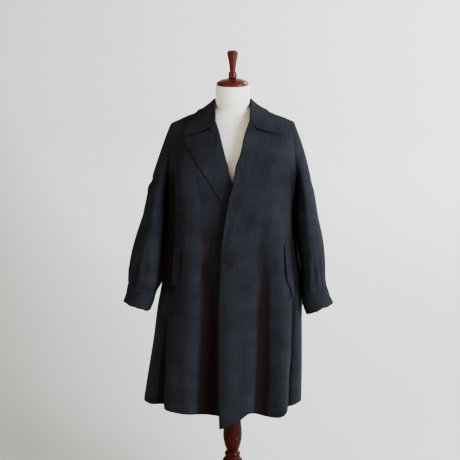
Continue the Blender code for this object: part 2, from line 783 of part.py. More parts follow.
def arch_point(x, turn, lift):
    """A point above the coat's outside near the shoulder."""
    across = arch_bare(x + ARCH_STEP, turn) - arch_bare(x - ARCH_STEP, turn)
    over = arch_bare(x, turn - ARCH_TURN) - arch_bare(x, turn + ARCH_TURN)
    return arch_bare(x, turn) + across.cross(over).normalized() * lift


def collar_profile(share):
    """Points from the neckline up the stand, over the fold and out to the collar's edge.

    Share -1 is the right notch, 0 the centre back and 1 the left notch.
    """
    side = 1 if share >= 0 else -1
    row = read_table(COLLAR, 1 - abs(share))
    neck = arch_point(side * row.neck_x, row.neck_turn, 0.0)
    crest = neck + Vector((side * row.crest_x, row.crest_y, row.crest_z))
    away = Vector((crest.x, crest.y - RIDGE_Y, 0.0)).normalized()
    low = neck - Vector((0.0, 0.0, STAND_SINK))
    centre = crest + away * CREST_R
    points = [low]
    for turn in CREST_TURNS:
        cosine, sine = math.cos(math.radians(turn)), math.sin(math.radians(turn))
        points.append(centre + away * (CREST_R * cosine) + Vector((0.0, 0.0, CREST_R * sine)))
    foot = arch_point(side * (row.neck_x + STAND_ROOM), row.neck_turn, COLLAR_LIFT)
    start = points[-1] - foot
    for i in range(1, LEAF_ACROSS + 1):
        u = i / LEAF_ACROSS
        x = row.neck_x + STAND_ROOM + (row.edge_x - row.neck_x - STAND_ROOM) * u
        turn = row.neck_turn + (row.edge_turn - row.neck_turn) * u
        turn += GORGE_DIP_DEG * gorge_bend(u) * (1 - smooth(row.place / GORGE_DIP_SHARE))
        points.append(arch_point(side * x, turn, COLLAR_LIFT) + start * (1 - u) ** LEAF_FALL)
    return points


def add_collar(material):
    """The collar, cut in one with its stand."""
    places = range(-COLLAR_ALONG, COLLAR_ALONG + 1)
    return add_sheet("collar", [collar_profile(k / COLLAR_ALONG) for k in places], material)


def ring_points(ring, count=SLEEVE_ROUND):
    """Points round one sleeve ring: 0 faces away from the body, then come the front and the body side."""
    side = math.copysign(1.0, ring.x)
    tilt = Matrix.Rotation(math.radians(-side * ring.tilt), 3, "Y")
    tilt = tilt @ Matrix.Rotation(math.radians(-ring.pitch), 3, "X")
    centre = Vector((ring.x, ring.y, ring.z))
    points = []
    for k in range(count):
        turn = 2 * math.pi * k / count
        flat = Vector((side * ring.half_width * math.cos(turn), -ring.half_depth * math.sin(turn), 0.0))
        points.append(centre + tilt @ flat)
    return points


def armhole_points(mirrored, count=SLEEVE_ROUND):
    """Points round the armhole, from the shoulder down the front to the underarm and up the back."""
    sign = -1 if mirrored else 1
    points = []
    for k in range(count):
        share = k / count
        if share <= 0.5:
            angle, level = armhole_place(180 * share, 1)
        else:
            angle, level = armhole_place(180 * (1 - share), -1)
        point = bare_point(sign * angle, level)
        point.x += sign * (SEAM + WALL * (1 + math.cos(2 * math.pi * share)) / 2)
        points.append(point)
    return points


def bezier(a, b, c, d, t):
    return a * (1 - t) ** 3 + b * 3 * t * (1 - t) ** 2 + c * 3 * t * t * (1 - t) + d * t ** 3


def sleeve_grid(rings, mirrored):
    """Rows from the cuff seam up to the armhole; the cap runs from the armhole into the first ring."""
    sign = -1 if mirrored else 1
    low_to_high = sorted(rings, key=lambda ring: ring.z)
    grid = []
    for j in range(SLEEVE_ROWS + 1):
        z = low_to_high[0].z + (low_to_high[-1].z - low_to_high[0].z) * j / SLEEVE_ROWS
        grid.append(ring_points(read_table(low_to_high, z)))
    ring_top = grid[-1]
    axis = (sum(grid[-1], Vector()) - sum(grid[-2], Vector())).normalized()
    hole = armhole_points(mirrored)
    for j in range(1, SLEEVE_CAP_ROWS + 1):
        t = 1 - j / SLEEVE_CAP_ROWS
        row = []
        for k, (start, end) in enumerate(zip(hole, ring_top)):
            turn = math.cos(2 * math.pi * k / SLEEVE_ROUND)
            reach = (end - start).length / 3
            out = Vector((sign * (CAP_OUT + CAP_OUT_TOP * turn), 0.0, -1.0)).normalized()
            row.append(bezier(start, start + out * reach, end + axis * reach, end, t))
        grid.append(row)
    return grid


def sleeve_order(grid, mirrored):
    """Columns in the order that makes the faces look outwards."""
    return grid if not mirrored else [row[::-1] for row in grid]


def add_sleeve(name, rings, mirrored, material):
    return add_sheet(name, sleeve_order(sleeve_grid(rings, mirrored), not mirrored), material, closed=True)


def add_cuff(name, rings, mirrored, material):
    low_to_high = sorted(rings, key=lambda ring: ring.z)
    grid = [ring_points(ring) for ring in low_to_high]
    return add_sheet(name, sleeve_order(grid, not mirrored), material, closed=True)


def flap_corner(side, share_down, share_back):
    """Angle and level of a place on a pocket flap."""
    line = LEFT_POCKET if side > 0 else RIGHT_POCKET
    z = line[-1].z + (line[0].z - line[-1].z) * share_down
    angle, level = place_of(side * read_table(line, z).x, z)
    return angle + side * POCKET_WIDTH_DEG * share_back, level


def add_pocket_flap(name, side, material):
    """A slanted flap laid on the front."""
    grid = []
    lift = LAYER + WALL + FLAP_LIFT
    for j in range(FLAP_ROWS + 1):
        row = []
        for i in range(FLAP_COLUMNS + 1):
            place = flap_corner(side, 1 - j / FLAP_ROWS, i / FLAP_COLUMNS)
            row.append(coat_point(*place, lift))
        grid.append(row if side > 0 else row[::-1])
    add_sheet(name, grid, material)


def add_pocket_button(name, side, material):
    """The round button near a flap's lower end."""
    angle, level = flap_corner(side, BUTTON_DOWN, BUTTON_BACK)
    lift = LAYER + WALL + FLAP_LIFT + BUTTON_GAP
    mesh = bpy.data.meshes.new(name)
    shape = bmesh.new()
    bmesh.ops.create_cone(
        shape,
        cap_ends=True,
        segments=BUTTON_SIDES,
        radius1=POCKET_BUTTON_R,
        radius2=POCKET_BUTTON_R * BUTTON_TAPER,
        depth=POCKET_BUTTON_H,
    )
    shape.to_mesh(mesh)
    shape.free()
    obj = link(name, mesh, material)
    normal = normal_at(angle, level)
    obj.rotation_euler = normal.to_track_quat("Z", "Y").to_euler()
    obj.location = coat_point(angle, level, lift) + normal * POCKET_BUTTON_H / 2


def add_tab(material):
    """The pointed tab across the lapped edge."""
    grid = []
    for j in range(TAB_ROWS + 1):
        row = []
        for column in TAB:
            z = column.bottom + (column.top - column.bottom) * j / TAB_ROWS
            angle, level = place_of(column.x, z)
            row.append(coat_point(angle, level, left_layer(angle, level) + TAB_LAYER + WALL))
        grid.append(row)
    add_sheet("front_tab", grid, material)


def add_form(material):
    """The dress form: a smooth closed body from hip to neck."""
    mesh = bpy.data.meshes.new("form_body")
    shape = bmesh.new()
    rings = []
    for row in FORM:
        ring = []
        for k in range(FORM_ROUND):
            turn = 2 * math.pi * k / FORM_ROUND
            depth = row.front if math.cos(turn) > 0 else row.back
            y = form_lean(row.z) - depth * signed_power(math.cos(turn), row.taper)
            ring.append(shape.verts.new((row.half * math.sin(turn), y, row.z)))
        rings.append(ring)
    for low, high in zip(rings, rings[1:]):
        for k in range(FORM_ROUND):
            n = (k + 1) % FORM_ROUND
            shape.faces.new((low[k], low[n], high[n], high[k]))
    shape.faces.new(rings[0][::-1])
    shape.faces.new(rings[-1])
    shape.to_mesh(mesh)
    shape.free()
    mesh.shade_smooth()
    return link("form_body", mesh, material)


def form_lean(z):
    """The form's trunk stands a little behind its neck's axis, under the coat's shoulder line."""
    return RIDGE_Y * (1 - ramp(z, NECK_START))


def make_material(name):
    colour, roughness = COLOURS[name]
    material = bpy.data.materials.new(name)
    material.use_nodes = True
    shader = material.node_tree.nodes["Principled BSDF"]
    shader.inputs["Base Color"].default_value = colour
    shader.inputs["Roughness"].default_value = roughness
    shader.inputs["Metallic"].default_value = 0.0
    return material


def main():
    for old in list(bpy.data.objects):
        bpy.data.objects.remove(old)
    parts = bpy.data.collections.new("overcoat")
    bpy.context.scene.collection.children.link(parts)
    cloth, form_cloth, wood, tab_cloth, horn = [make_material(name) for name in COLOURS]

    add_front("front_left", LEFT_EDGE, left_layer, corner_drop, NECK_HALF, False, cloth)
    add_front("front_right", RIGHT_EDGE, right_layer, None, -NECK_HALF, True, cloth)
    add_back(cloth)
    add_sheet("lapel_left", lapel_grid(LEFT_EDGE, LEFT_LAPEL, left_layer, False), cloth)
    add_sheet("lapel_right", lapel_grid(RIGHT_EDGE, RIGHT_LAPEL, right_layer, True), cloth)
    add_collar(cloth)
    add_sleeve("sleeve_left", LEFT_SLEEVE, False, cloth)
    add_sleeve("sleeve_right", RIGHT_SLEEVE, True, cloth)
    add_cuff("cuff_left", LEFT_CUFF, False, cloth)
    add_cuff("cuff_right", RIGHT_CUFF, True, cloth)
    for name, side in (("left", 1), ("right", -1)):
        add_pocket_flap("pocket_flap_" + name, side, cloth)
        add_pocket_button("pocket_button_" + name, side, horn)
    add_tab(tab_cloth)

    add_form(form_cloth)
    add_turned("neck_cap", NECK_CAP, wood)
    add_turned("finial", FINIAL, wood)
    add_turned("pole", POLE, wood)
    add_turned("base", BASE, wood)


main()
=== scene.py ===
"""Looks for the overcoat on its dress form: folded and sewn cloth shells, a jersey form and turned wood.

Metres, +Z up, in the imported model's frame. The front faces -Y. Left and right are the wearer's.
"""

import math
from collections import namedtuple

import bpy
import numpy as np
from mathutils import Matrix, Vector

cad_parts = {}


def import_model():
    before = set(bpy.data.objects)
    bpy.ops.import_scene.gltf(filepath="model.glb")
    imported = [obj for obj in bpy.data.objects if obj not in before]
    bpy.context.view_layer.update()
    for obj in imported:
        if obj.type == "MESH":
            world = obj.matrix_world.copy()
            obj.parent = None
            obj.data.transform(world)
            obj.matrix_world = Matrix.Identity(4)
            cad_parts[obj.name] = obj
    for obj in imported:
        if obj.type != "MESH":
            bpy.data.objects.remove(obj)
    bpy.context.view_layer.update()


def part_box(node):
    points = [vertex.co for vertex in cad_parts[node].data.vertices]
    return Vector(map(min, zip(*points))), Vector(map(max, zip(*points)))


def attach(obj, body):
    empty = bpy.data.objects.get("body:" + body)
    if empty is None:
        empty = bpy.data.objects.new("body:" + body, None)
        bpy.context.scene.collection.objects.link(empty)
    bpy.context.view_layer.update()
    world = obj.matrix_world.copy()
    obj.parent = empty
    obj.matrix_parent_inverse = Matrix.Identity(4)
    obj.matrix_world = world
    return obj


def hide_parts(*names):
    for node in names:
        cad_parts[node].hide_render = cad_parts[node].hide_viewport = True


def table(columns, *rows):
    """A table's rows, with its columns named."""
    row_type = namedtuple("Row", columns)
    return [row_type(*row) for row in rows]


# The least length that a direction is divided by
TINY = 1e-12

# Cloth walls, the layers between them, and how their seams and free edges round off
CLOTH = 0.0016
CUFF_CLOTH = 0.003
LAYER = 0.0012
SEAM_ROLL = 0.0016
SEAM_TURN_IN = 0.005
SEAM_WIDTH = 0.0030
EDGE_ROLL = 0.0008
EDGE_WIDTH = 0.0025
RIM_BULGE = 0.45

# The coat's heights: its hem, its shoulder at the neck, and the depth over which the chest rounds over the
# shoulder. Then the neckline's half-width, its softness and how far it reaches back, the shoulders' slopes
# and half-width, and how far back their line lies.
HEM_Z = 0.405
SHOULDER_Z = 1.475
ROUND = 0.200
NECK_HALF = 0.068
NECK_SOFT = 0.030
BACK_NECK = 0.0766
SLOPE_RIGHT = 0.437
SLOPE_LEFT = 0.402
SHOULDER_HALF = 0.2125
RIDGE_Y = 0.004
CHEST_Z = SHOULDER_Z - ROUND

# Armhole, in degrees round the body and in levels from 0 at the hem to 2 at the shoulder seam
UNDERARM_LEVEL = 0.93
ARMHOLE_SQUARENESS = 2.6
SEAM_ANGLE = 0.001

# Hem of the lapped front, which hangs lower at its corner
CORNER_DROP = 0.040
CORNER_X = -0.0425
CORNER_END_X = 0.055

# How the two fronts part where they overlap. A ramp starts at one value and takes a span to grow.
Ramp = namedtuple("Ramp", "start span")
LAP_LIFT = 0.001
LAP_FADE = Ramp(15.0, 25.0)
PROUD_EDGE = 0.010
PROUD_FADE = Ramp(-5.0, 14.0)
PROUD_TOP = Ramp(0.15, 0.50)
UNDER_SINK = 0.0125
SINK_GROWTH = Ramp(-38.0, 30.0)
SINK_TOP = Ramp(0.98, 0.32)

# Mesh counts
FRONT_ACROSS = 88
BACK_ACROSS = 150
BODY_UP = 152
SLEEVE_ROUND = 96
SLEEVE_UP = 84
SLEEVE_CAP_UP = 48
CUFF_UP = 16

# Panels: the share of their rows below the underarm, the share of the back's half-width that its neckline
# takes, how fast rows turn even away from the side seams and bend towards the top, and the steps, in degrees
# and levels, that their slopes are measured over
SKIRT_SHARE = 9 / 19
NECK_SHARE = 8 / 24
SIDE_BLEND = 3.0
TOP_BLEND = 3
ANGLE_STEP = 0.4
LEVEL_STEP = 0.01

# The coat's body: half-widths to the wearer's right and left, depths to front and back, and squareness
BODY = table(
    "height right left front back power",
    (0.405, 0.3095, 0.2445, 0.17, 0.19, 2.2),
    (0.535, 0.293, 0.246, 0.165, 0.178, 2.3),
    (0.67, 0.2755, 0.2455, 0.159, 0.165, 2.5),
    (0.79, 0.263, 0.245, 0.154, 0.154, 2.5),
    (0.9, 0.2455, 0.245, 0.15, 0.145, 2.6),
    (1, 0.2335, 0.2235, 0.147, 0.138, 2.8),
    (1.15, 0.225, 0.21, 0.144, 0.13, 3),
    (1.275, 0.226, 0.221, 0.139, 0.126, 3),
    (1.475, 0.2265, 0.2265, 0.135, 0.125, 3),
)

# Long soft folds: where each runs at the hem and at its top, its half-width, and its depth out of the cloth
# at the hem. Minus is a valley. Then the level where it has died out, and how fast it does.
FOLDS = table(
    "hem_angle top_angle width depth top_level fade",
    (-17.5, -21, 9.5, -0.026, 1.05, 1.1),
    (-33, -33, 8, 0.008, 0.95, 1),
    (-45, -47, 7, 0.01, 0.6, 1.3),
    (-58, -58, 7, -0.036, 0.65, 1.4),
    (-93, -92, 10, 0.01, 0.75, 1.2),
    (23.5, 27, 8.5, -0.027, 0.92, 1),
    (41, 41, 8, 0.034, 1.05, 1.1),
    (59, 58, 6.5, -0.04, 0.7, 1.2),
    (93, 92, 9, 0.004, 0.6, 1),
    (106, 103, 8, -0.02, 0.75, 1.2),
    (125, 122, 9, 0.018, 0.95, 1.1),
    (145, 146, 8.5, -0.022, 0.9, 1.1),
    (167, 165, 10, 0.018, 1, 1),
    (192, 193, 9, -0.018, 0.9, 1.2),
    (213, 210, 9, 0.022, 0.95, 1.1),
    (235, 236, 8, -0.02, 0.85, 1.1),
    (253, 251, 8, 0.01, 0.8, 1.2),
)

# Fullness of the back behind the arms, each side of the centre front: its place round, its half-width in
# degrees, and its depth on the wearer's right and left at each level
SWELL_ANGLE = 113.0
SWELL_WIDTH = 13.0
SWELLS = table(
    "level right left",
    (0.3, 0, 0),
    (0.38, 0, 0.003),
    (0.44, 0.001, 0.0225),
    (0.52, 0.004, 0.0265),
    (0.66, 0.0195, 0.029),
    (0.78, 0.021, 0.026),
    (0.88, 0.018, 0.015),
    (1, 0.007, 0.006),
    (1.15, 0, 0),
)

# How far the hem rises at each place round it, in metres; minus hangs lower
HEM = table(
    "angle rise",
    (-180, 0), (-90, 0), (-76, 0.005), (-62, 0.008), (-50, 0.008), (-38, 0.004),
    (-26, -0.003), (-14, -0.009), (5, -0.004), (14, 0.006), (27, -0.01), (36, -0.009),
    (42, 0.003), (46, 0.012), (52, 0.008), (60, -0.003), (71, 0.008), (90, 0), (180, 0),
)

# Creases: soft lines from one place to another on the body, with their half-width and depth in metres.
# Minus is a trough.
CREASES = table(
    "angle_low level_low angle_high level_high width depth",
    (8, 0.55, 24, 1.1, 0.014, -0.0011),
    (20, 0.5, 30, 1.2, 0.014, 0.0014),
    (-4, 0.66, 14, 1.02, 0.01, 0.002),
    (2, 0.68, 30, 0.92, 0.012, -0.0009),
    (30, 0.62, 52, 1.22, 0.015, -0.0018),
    (42, 0.7, 60, 1.35, 0.012, 0.0022),
    (62, 0.6, 74, 1.05, 0.012, -0.0028),
    (50, 0.2, 47, 0.6, 0.016, 0.0024),
    (-22, 0.55, -33, 1.25, 0.012, -0.0026),
    (-36, 0.6, -45, 1.3, 0.014, 0.0024),
    (-46, 0.55, -58, 1.1, 0.013, -0.0028),
    (-64, 0.55, -72, 1.05, 0.012, 0.0024),
    (-38, 0.05, -36, 0.5, 0.016, -0.0026),
    (-72, 0.05, -70, 0.55, 0.018, 0.003),
    (-26, 0.72, -62, 0.95, 0.011, -0.0016),
    (112, 0.6, 128, 1.35, 0.016, -0.003),
    (126, 0.7, 140, 1.5, 0.014, 0.0024),
    (150, 0.65, 158, 1.4, 0.016, -0.0026),
    (176, 0.55, 183, 1.55, 0.018, 0.0026),
    (202, 0.65, 200, 1.4, 0.016, -0.0026),
    (222, 0.7, 214, 1.45, 0.014, 0.0024),
    (246, 0.6, 232, 1.35, 0.016, -0.003),
    (158, 0.05, 156, 0.55, 0.018, 0.0028),
    (224, 0.05, 226, 0.6, 0.018, -0.0028),
)

# How a crease's line bends, as a share of its half-width, the share of its length that it fades over, and
# how its depth varies. Turns are radians along the whole line, phases radians for each metre of its place.
LINE_BEND = 0.35
BEND_TURNS = 7.0
BEND_PHASE = 40.0
LINE_FADE = 0.35
LINE_UNEVENNESS = 0.3
UNEVEN_TURNS = 11.0
UNEVEN_PHASE = 90.0

# Soft unevenness of hanging cloth: seed and number of the waves, their pitch round and up, and their height.
# Their frequencies are spread round these pitches, and drift either way going up.
UNEVENNESS = table(
    "seed count pitch_round pitch_up height",
    (3, 6, 0.085, 0.6, 0.0008),
    (5, 6, 0.022, 0.09, 0.00025),
)
WAVE_SPREAD = (0.6, 1.5)
WAVE_DRIFT = (-1.0, 1.0)

# Creases of the back count on past 180 degrees, from this angle behind the wearer's right arm
BACK_START = -100

# Under the arms the cloth is calmer: how much, where round the body, and over how many degrees
UNDER_ARM_CALM = 0.9
UNDER_ARM_ANGLE = 105.0
UNDER_ARM_WIDTH = 24.0

# Metres of cloth for one degree round the body, for one level below the chest, and for one above it
ANGLE_M = 0.0036
LEVEL_M = 0.87
OVER_M = ROUND * math.pi / 2

# Front edge below the break and roll line above it, as heights and places across
LEFT_EDGE = table(
    "z x",
    (0.405, -0.043), (0.595, -0.047), (0.826, -0.0484), (0.902, -0.0456), (1.001, -0.0383),
    (1.075, -0.0285), (1.173, -0.013), (1.218, -0.0003), (1.32, 0.0243), (1.381, 0.0382),
    (1.417, 0.0505), (1.43, 0.06),
)
RIGHT_EDGE = table(
    "z x",
    (0.405, 0.061), (0.826, 0.061), (1.001, 0.058), (1.11, 0.028), (1.218, -0.0006),
    (1.279, -0.0165), (1.349, -0.0335), (1.412, -0.0505), (1.43, -0.06),
)
BREAK_Z = 1.001

# Outer edge of each lapel, from the break to its point, and the corner of the gorge where the notch begins
LEFT_LAPEL = table(
    "z x",
    (1.001, -0.033), (1.0735, 0.0079), (1.1159, 0.027), (1.1612, 0.0455), (1.2291, 0.074),
    (1.3121, 0.119), (1.368, 0.1634),
)
RIGHT_LAPEL = table(
    "z x",
    (1.001, 0.053), (1.1311, -0.0226), (1.176, -0.05), (1.2291, -0.0816), (1.296, -0.124),
    (1.368, -0.169),
)

# Lapels: mesh counts, how the leaf bulges near its roll, the dip and the seam of the gorge, where the leaf
# joins the collar, and the roll's size and arc in degrees
LAPEL_ACROSS = 40
LAPEL_UP = 110
LAPEL_BULGE = 0.0035
NOTCH_SHARE = 0.17
GORGE_DIP = 0.0125
GORGE_SEAM = 0.004
GORGE_FADE = 6
BULGE_RISE = 4.0
GORGE_OPENS = Ramp(0.13, 0.07)
GORGE_CLOSES = 26
ROLL_OUT = 0.0012
ROLL_UP = 0.0024
ROLL_ARC = (-80, 60)
ROLL_TURNS = 9
ROLL_GROWTH = Ramp(-0.025, 0.125)
LEAF_START = 0.01

# Collar with its stand, from the notch round to the centre back on the wearer's left: where the stand meets
# the neckline, how far the fold's crest is from there, and the outer edge. Turns are degrees over the
# shoulder, 0 on the shoulder line and minus behind it.
COLLAR = table(
    "place neck_x neck_turn crest_x crest_y crest_z edge_x edge_turn",
    (0, 0.057, 38.5, 0.001, -0.006, 0.003, 0.164, 43.5),
    (0.2, 0.06, 27, -0.0003, -0.002, 0.006, 0.153, 30.5),
    (0.38, 0.062, 13, -0.0007, 0, 0.009, 0.134, 16.5),
    (0.55, 0.0625, 0, 0, 0, 0.01, 0.115, 0),
    (0.72, 0.0555, -17, 0, -0.002, 0.02, 0.099, -22),
    (0.86, 0.033, -30.9, 0, -0.004, 0.029, 0.056, -42),
    (1, 0, -35.5, 0, -0.005, 0.033, 0, -49),
)

# The collar's mesh counts, its lift off the coat, its fold's radius and arc in degrees, how its stand sits
# in the neckline, how its leaf falls and dips at the gorge, and the steps that its slopes are measured over
COLLAR_ALONG = 90
LEAF_ACROSS = 30
COLLAR_LIFT = 0.0031
CREST_R = 0.0030
STAND_SINK = 0.0020
STAND_ROOM = 0.0060
STAND_STEPS = 6
CREST_ARC = (180, 40)
CREST_STEPS = 10
LEAF_FALL = 1.6
GORGE_DIP_DEG = 7.5
GORGE_DIP_SHARE = 0.25
ARCH_STEP = 0.002
ARCH_TURN = 1.0

# Front tab that holds the lapped edge: its top and bottom edges at each place across
TAB = table(
    "x top bottom",
    (-0.0415, 0.9935, 0.9605),
    (-0.0213, 0.9905, 0.951),
    (-0.0125, 0.9892, 0.944),
    (-0.004, 0.988, 0.9366),
    (0.008, 0.9862, 0.946),
    (0.017, 0.985, 0.954),
)
TAB_LIFT = 0.0024
TAB_ACROSS = 48
TAB_UP = 24

# Slanted pocket flaps: the front line of each, lower end first, and their width in degrees round the body
LEFT_POCKET = table(
    "z x",
    (0.816, 0.1975), (0.846, 0.1915), (0.882, 0.1803), (0.91, 0.1762), (0.96, 0.1737),
    (1.009, 0.1727),
)
RIGHT_POCKET = table("z x", (0.86, 0.1865), (1.005, 0.1765))
POCKET_WIDTH_DEG = 9.0
FLAP_UP = 48
FLAP_ACROSS = 14
FLAP_GAPE = 0.0045
FLAP_BOW = 0.0012

# Sleeves from below the armhole to the cuff seam, then the cuff: ring centres, half-widths, half-depths,
# tilts, which are degrees that the outer side is higher, and pitches, degrees that the front is higher
RING = "z x y half_width half_depth tilt pitch"
RIGHT_SLEEVE = table(
    RING,
    (1.085, -0.2735, -0.008, 0.0405, 0.08, 7, 0),
    (1.01, -0.288, -0.015, 0.05, 0.075, 9, 0),
    (0.95, -0.2963, -0.024, 0.0582, 0.07, 9, 1),
    (0.892, -0.3045, -0.034, 0.0605, 0.064, 10, 2),
    (0.866, -0.3072, -0.04, 0.0593, 0.059, 12, 3),
    (0.84, -0.315, -0.046, 0.052, 0.049, 14, 4),
)
RIGHT_CUFF = table(
    RING,
    (0.8394, -0.3151, -0.0461, 0.052, 0.049, 14, 4),
    (0.807, -0.324, -0.049, 0.051, 0.046, 16.5, 4),
    (0.775, -0.3345, -0.052, 0.05, 0.044, 19, 4),
)
LEFT_SLEEVE = table(
    RING,
    (1.085, 0.257, -0.008, 0.0405, 0.08, 7, 0),
    (1.01, 0.269, -0.015, 0.0455, 0.075, 8, 0),
    (0.95, 0.2783, -0.024, 0.0437, 0.071, 10, 2),
    (0.892, 0.2825, -0.035, 0.043, 0.066, 12, 4),
    (0.858, 0.2832, -0.042, 0.0443, 0.059, 16, 6),
    (0.828, 0.2857, -0.047, 0.0468, 0.05, 20, 8),
)
LEFT_CUFF = table(
    RING,
    (0.8271, 0.2859, -0.0471, 0.0469, 0.05, 20, 8),
    (0.795, 0.2935, -0.0485, 0.0495, 0.047, 22, 9),
    (0.763, 0.306, -0.051, 0.05, 0.045, 23.7, 10),
)

# How far the sleeve's head leans out at the armhole, more at its top, and how it is tucked in at the seam
CAP_OUT = 0.28
CAP_OUT_TOP = 0.13
TUCK_SHARE = 0.02

# Unevenness of the cuffs, as heights and numbers of waves round: two waves of the lower edge, one that moves
# the band in and out towards that edge, and a leaning ripple over all of it
CUFF_EDGE_WAVE = 0.0013
CUFF_EDGE_COUNTS = (5, 9)
CUFF_EDGE_SECOND = 0.6
CUFF_WAVE = 0.0010
CUFF_WAVE_COUNT = 4
CUFF_RIPPLE = 0.0006
CUFF_RIPPLE_COUNT = 7
CUFF_RIPPLE_LEAN = 8

# Sleeve creases: height and turn at each end, where turn 0 faces away from the body and 90 is the front.
# Minus is a trough.
SLEEVE_CREASES = table(
    "z_low turn_low z_high turn_high width depth",
    (0.825, 44, 0.96, 62, 0.0075, -0.0042),
    (0.825, 62, 0.94, 74, 0.007, 0.0026),
    (0.825, 84, 1.01, 92, 0.008, -0.0032),
    (0.825, 106, 0.95, 112, 0.007, 0.0024),
    (0.825, 128, 0.97, 124, 0.008, -0.0024),
    (0.825, 14, 0.93, 24, 0.0075, -0.0026),
    (0.825, 200, 0.95, 196, 0.008, -0.0036),
    (0.825, 240, 0.98, 236, 0.0085, -0.0042),
    (0.825, 282, 0.94, 286, 0.008, -0.0038),
    (0.825, 322, 0.93, 316, 0.0075, -0.003),
    (1, 20, 1.11, 74, 0.019, -0.0024),
    (1.04, 60, 1.15, 130, 0.02, -0.0022),
    (1, 250, 1.11, 320, 0.02, -0.0026),
    (1.06, 230, 1.15, 290, 0.018, 0.0022),
    (0.93, 100, 1.25, 66, 0.017, 0.003),
    (0.92, 122, 1.28, 92, 0.018, -0.0014),
    (0.94, 270, 1.24, 290, 0.017, 0.0034),
)

# Sleeves: degrees round at each column, metres of cloth for one degree, how creases fade at both ends, the
# soft wave over the cloth with its counts round and up, and how calm the side against the body is
SLEEVE_TURNS = 360 * np.arange(SLEEVE_ROUND) / SLEEVE_ROUND
SLEEVE_TURN_M = 0.0011
SLEEVE_FADE = Ramp(0.0, 0.012)
SLEEVE_WAVE = 0.0008
SLEEVE_WAVE_ROUND = 3
SLEEVE_WAVE_LEAN = 14
SLEEVE_WAVE_UP = 21
BODY_SIDE_CALM = 0.85

# The kink on the outside of each upper sleeve: a dent, and a softer ridge below it. The ridge's depth is a
# share of the dent's, and its distance and width are counted in the dent's widths.
LEFT_KINK, RIGHT_KINK = table(
    "height depth width",
    (1.205, 0.0012, 0.018),
    (1.212, 0.0042, 0.012),
)
KINK_TURN = 10
RIDGE_DEPTH = 0.9
RIDGE_DOWN = 2.0
RIDGE_WIDTH = 1.4

# Dress form from the hip to the top of the neck: half-widths, depths, and how sharply it thins to its sides.
# Then its points round and up, and where its neck starts to stand upright over the axis.
FORM = table(
    "z half front back taper",
    (0.8, 0.152, 0.1, 0.104, 1),
    (0.85, 0.166, 0.11, 0.118, 1),
    (0.92, 0.17, 0.114, 0.122, 1),
    (1, 0.158, 0.11, 0.108, 1),
    (1.09, 0.143, 0.104, 0.094, 1),
    (1.18, 0.156, 0.11, 0.098, 1),
    (1.26, 0.176, 0.116, 0.106, 1),
    (1.33, 0.192, 0.108, 0.104, 1),
    (1.37, 0.198, 0.094, 0.094, 1.1),
    (1.395, 0.194, 0.08, 0.084, 1.3),
    (1.41, 0.184, 0.072, 0.074, 1.5),
    (1.4287, 0.16, 0.064, 0.064, 1.8),
    (1.4482, 0.1185, 0.0597, 0.0587, 1.9),
    (1.459, 0.09, 0.059, 0.0583, 1.6),
    (1.464, 0.068, 0.0585, 0.0583, 1.2),
    (1.47, 0.06, 0.0583, 0.0583, 1),
    (1.5, 0.0587, 0.0583, 0.0583, 1),
    (1.5415, 0.0583, 0.0583, 0.0583, 1),
)
FORM_ROUND = 144
FORM_UP = 200
NECK_START = Ramp(1.44, 0.05)

# Turned pieces, each as a profile from the bottom up
NECK_CAP = table(
    "radius z",
    (0, 1.542), (0.052, 1.542), (0.0555, 1.5455), (0.0555, 1.55), (0.05, 1.556),
    (0.033, 1.563), (0.015, 1.5665), (0, 1.5665),
)
FINIAL = table(
    "radius z",
    (0, 1.5669), (0.0135, 1.5669), (0.0145, 1.57), (0.0142, 1.584), (0.0128, 1.5875),
    (0.0098, 1.5905), (0.011, 1.605), (0.015, 1.63), (0.0192, 1.65), (0.0194, 1.654),
    (0.015, 1.66), (0, 1.6625),
)
POLE = table(
    "radius z",
    (0, 0.0455), (0.04, 0.0455), (0.04, 0.056), (0.027, 0.072), (0.0235, 0.1),
    (0.029, 0.125), (0.0375, 0.15), (0.0385, 0.166), (0.0345, 0.183), (0.027, 0.1905),
    (0.0262, 0.196), (0.0288, 0.203), (0.0262, 0.2105), (0.0205, 0.215), (0.0272, 0.232),
    (0.033, 0.256), (0.0345, 0.28), (0.0328, 0.308), (0.0282, 0.34), (0.0226, 0.39),
    (0.02, 0.45), (0.02, 0.7996), (0, 0.7996),
)
BASE = table(
    "radius z",
    (0, 0), (0.175, 0), (0.18, 0.006), (0.18, 0.02), (0.17, 0.028), (0.09, 0.034),
    (0.07, 0.04), (0.062, 0.045), (0, 0.045),
)
BUTTON = table(
    "radius z",
    (0, -0.0015), (0.0075, -0.0015), (0.0095, -0.0002), (0.0092, 0.0011), (0.0078, 0.0015),
    (0.0062, 0.0006), (0.003, 0.0003), (0, 0.0003),
)

# Buttons: points round, where the four holes are, their radius and depth, and the thread over them
BUTTON_ROUND = 64
HOLE_OUT = 0.0018
HOLE_R = 0.0009
HOLE_DEPTH = 0.0010
HOLE_STEEPNESS = 4
THREAD_REACH = 0.0042
THREAD_Z = 0.0005
THREAD_STRANDS = 3

# Turning: points round, the bend below which two profile lines make one curve, the rounding of sharper ones,
# the points along either, and the least radius, which keeps the axis open for its cap
TURN_ROUND = 96
SOFT_BEND = 38.0
ARRIS = 0.0012
ARRIS_SHARE = 0.4
CURVE_STEPS = 6
AXIS_R = 0.0004

# Seams of the form's cover: depth and half-width of each groove, and the height of the one round the neck.
# Then where extra points lie beside them, in radians round and in metres up.
GROOVE = 0.0007
GROOVE_WIDTH = 0.0012
NECK_SEAM_Z = 1.432
GROOVE_TURNS = (0.004, 0.009, 0.015, 0.022, 0.030)
GROOVE_RISES = (0.0006, 0.0012, 0.0019, 0.0028)

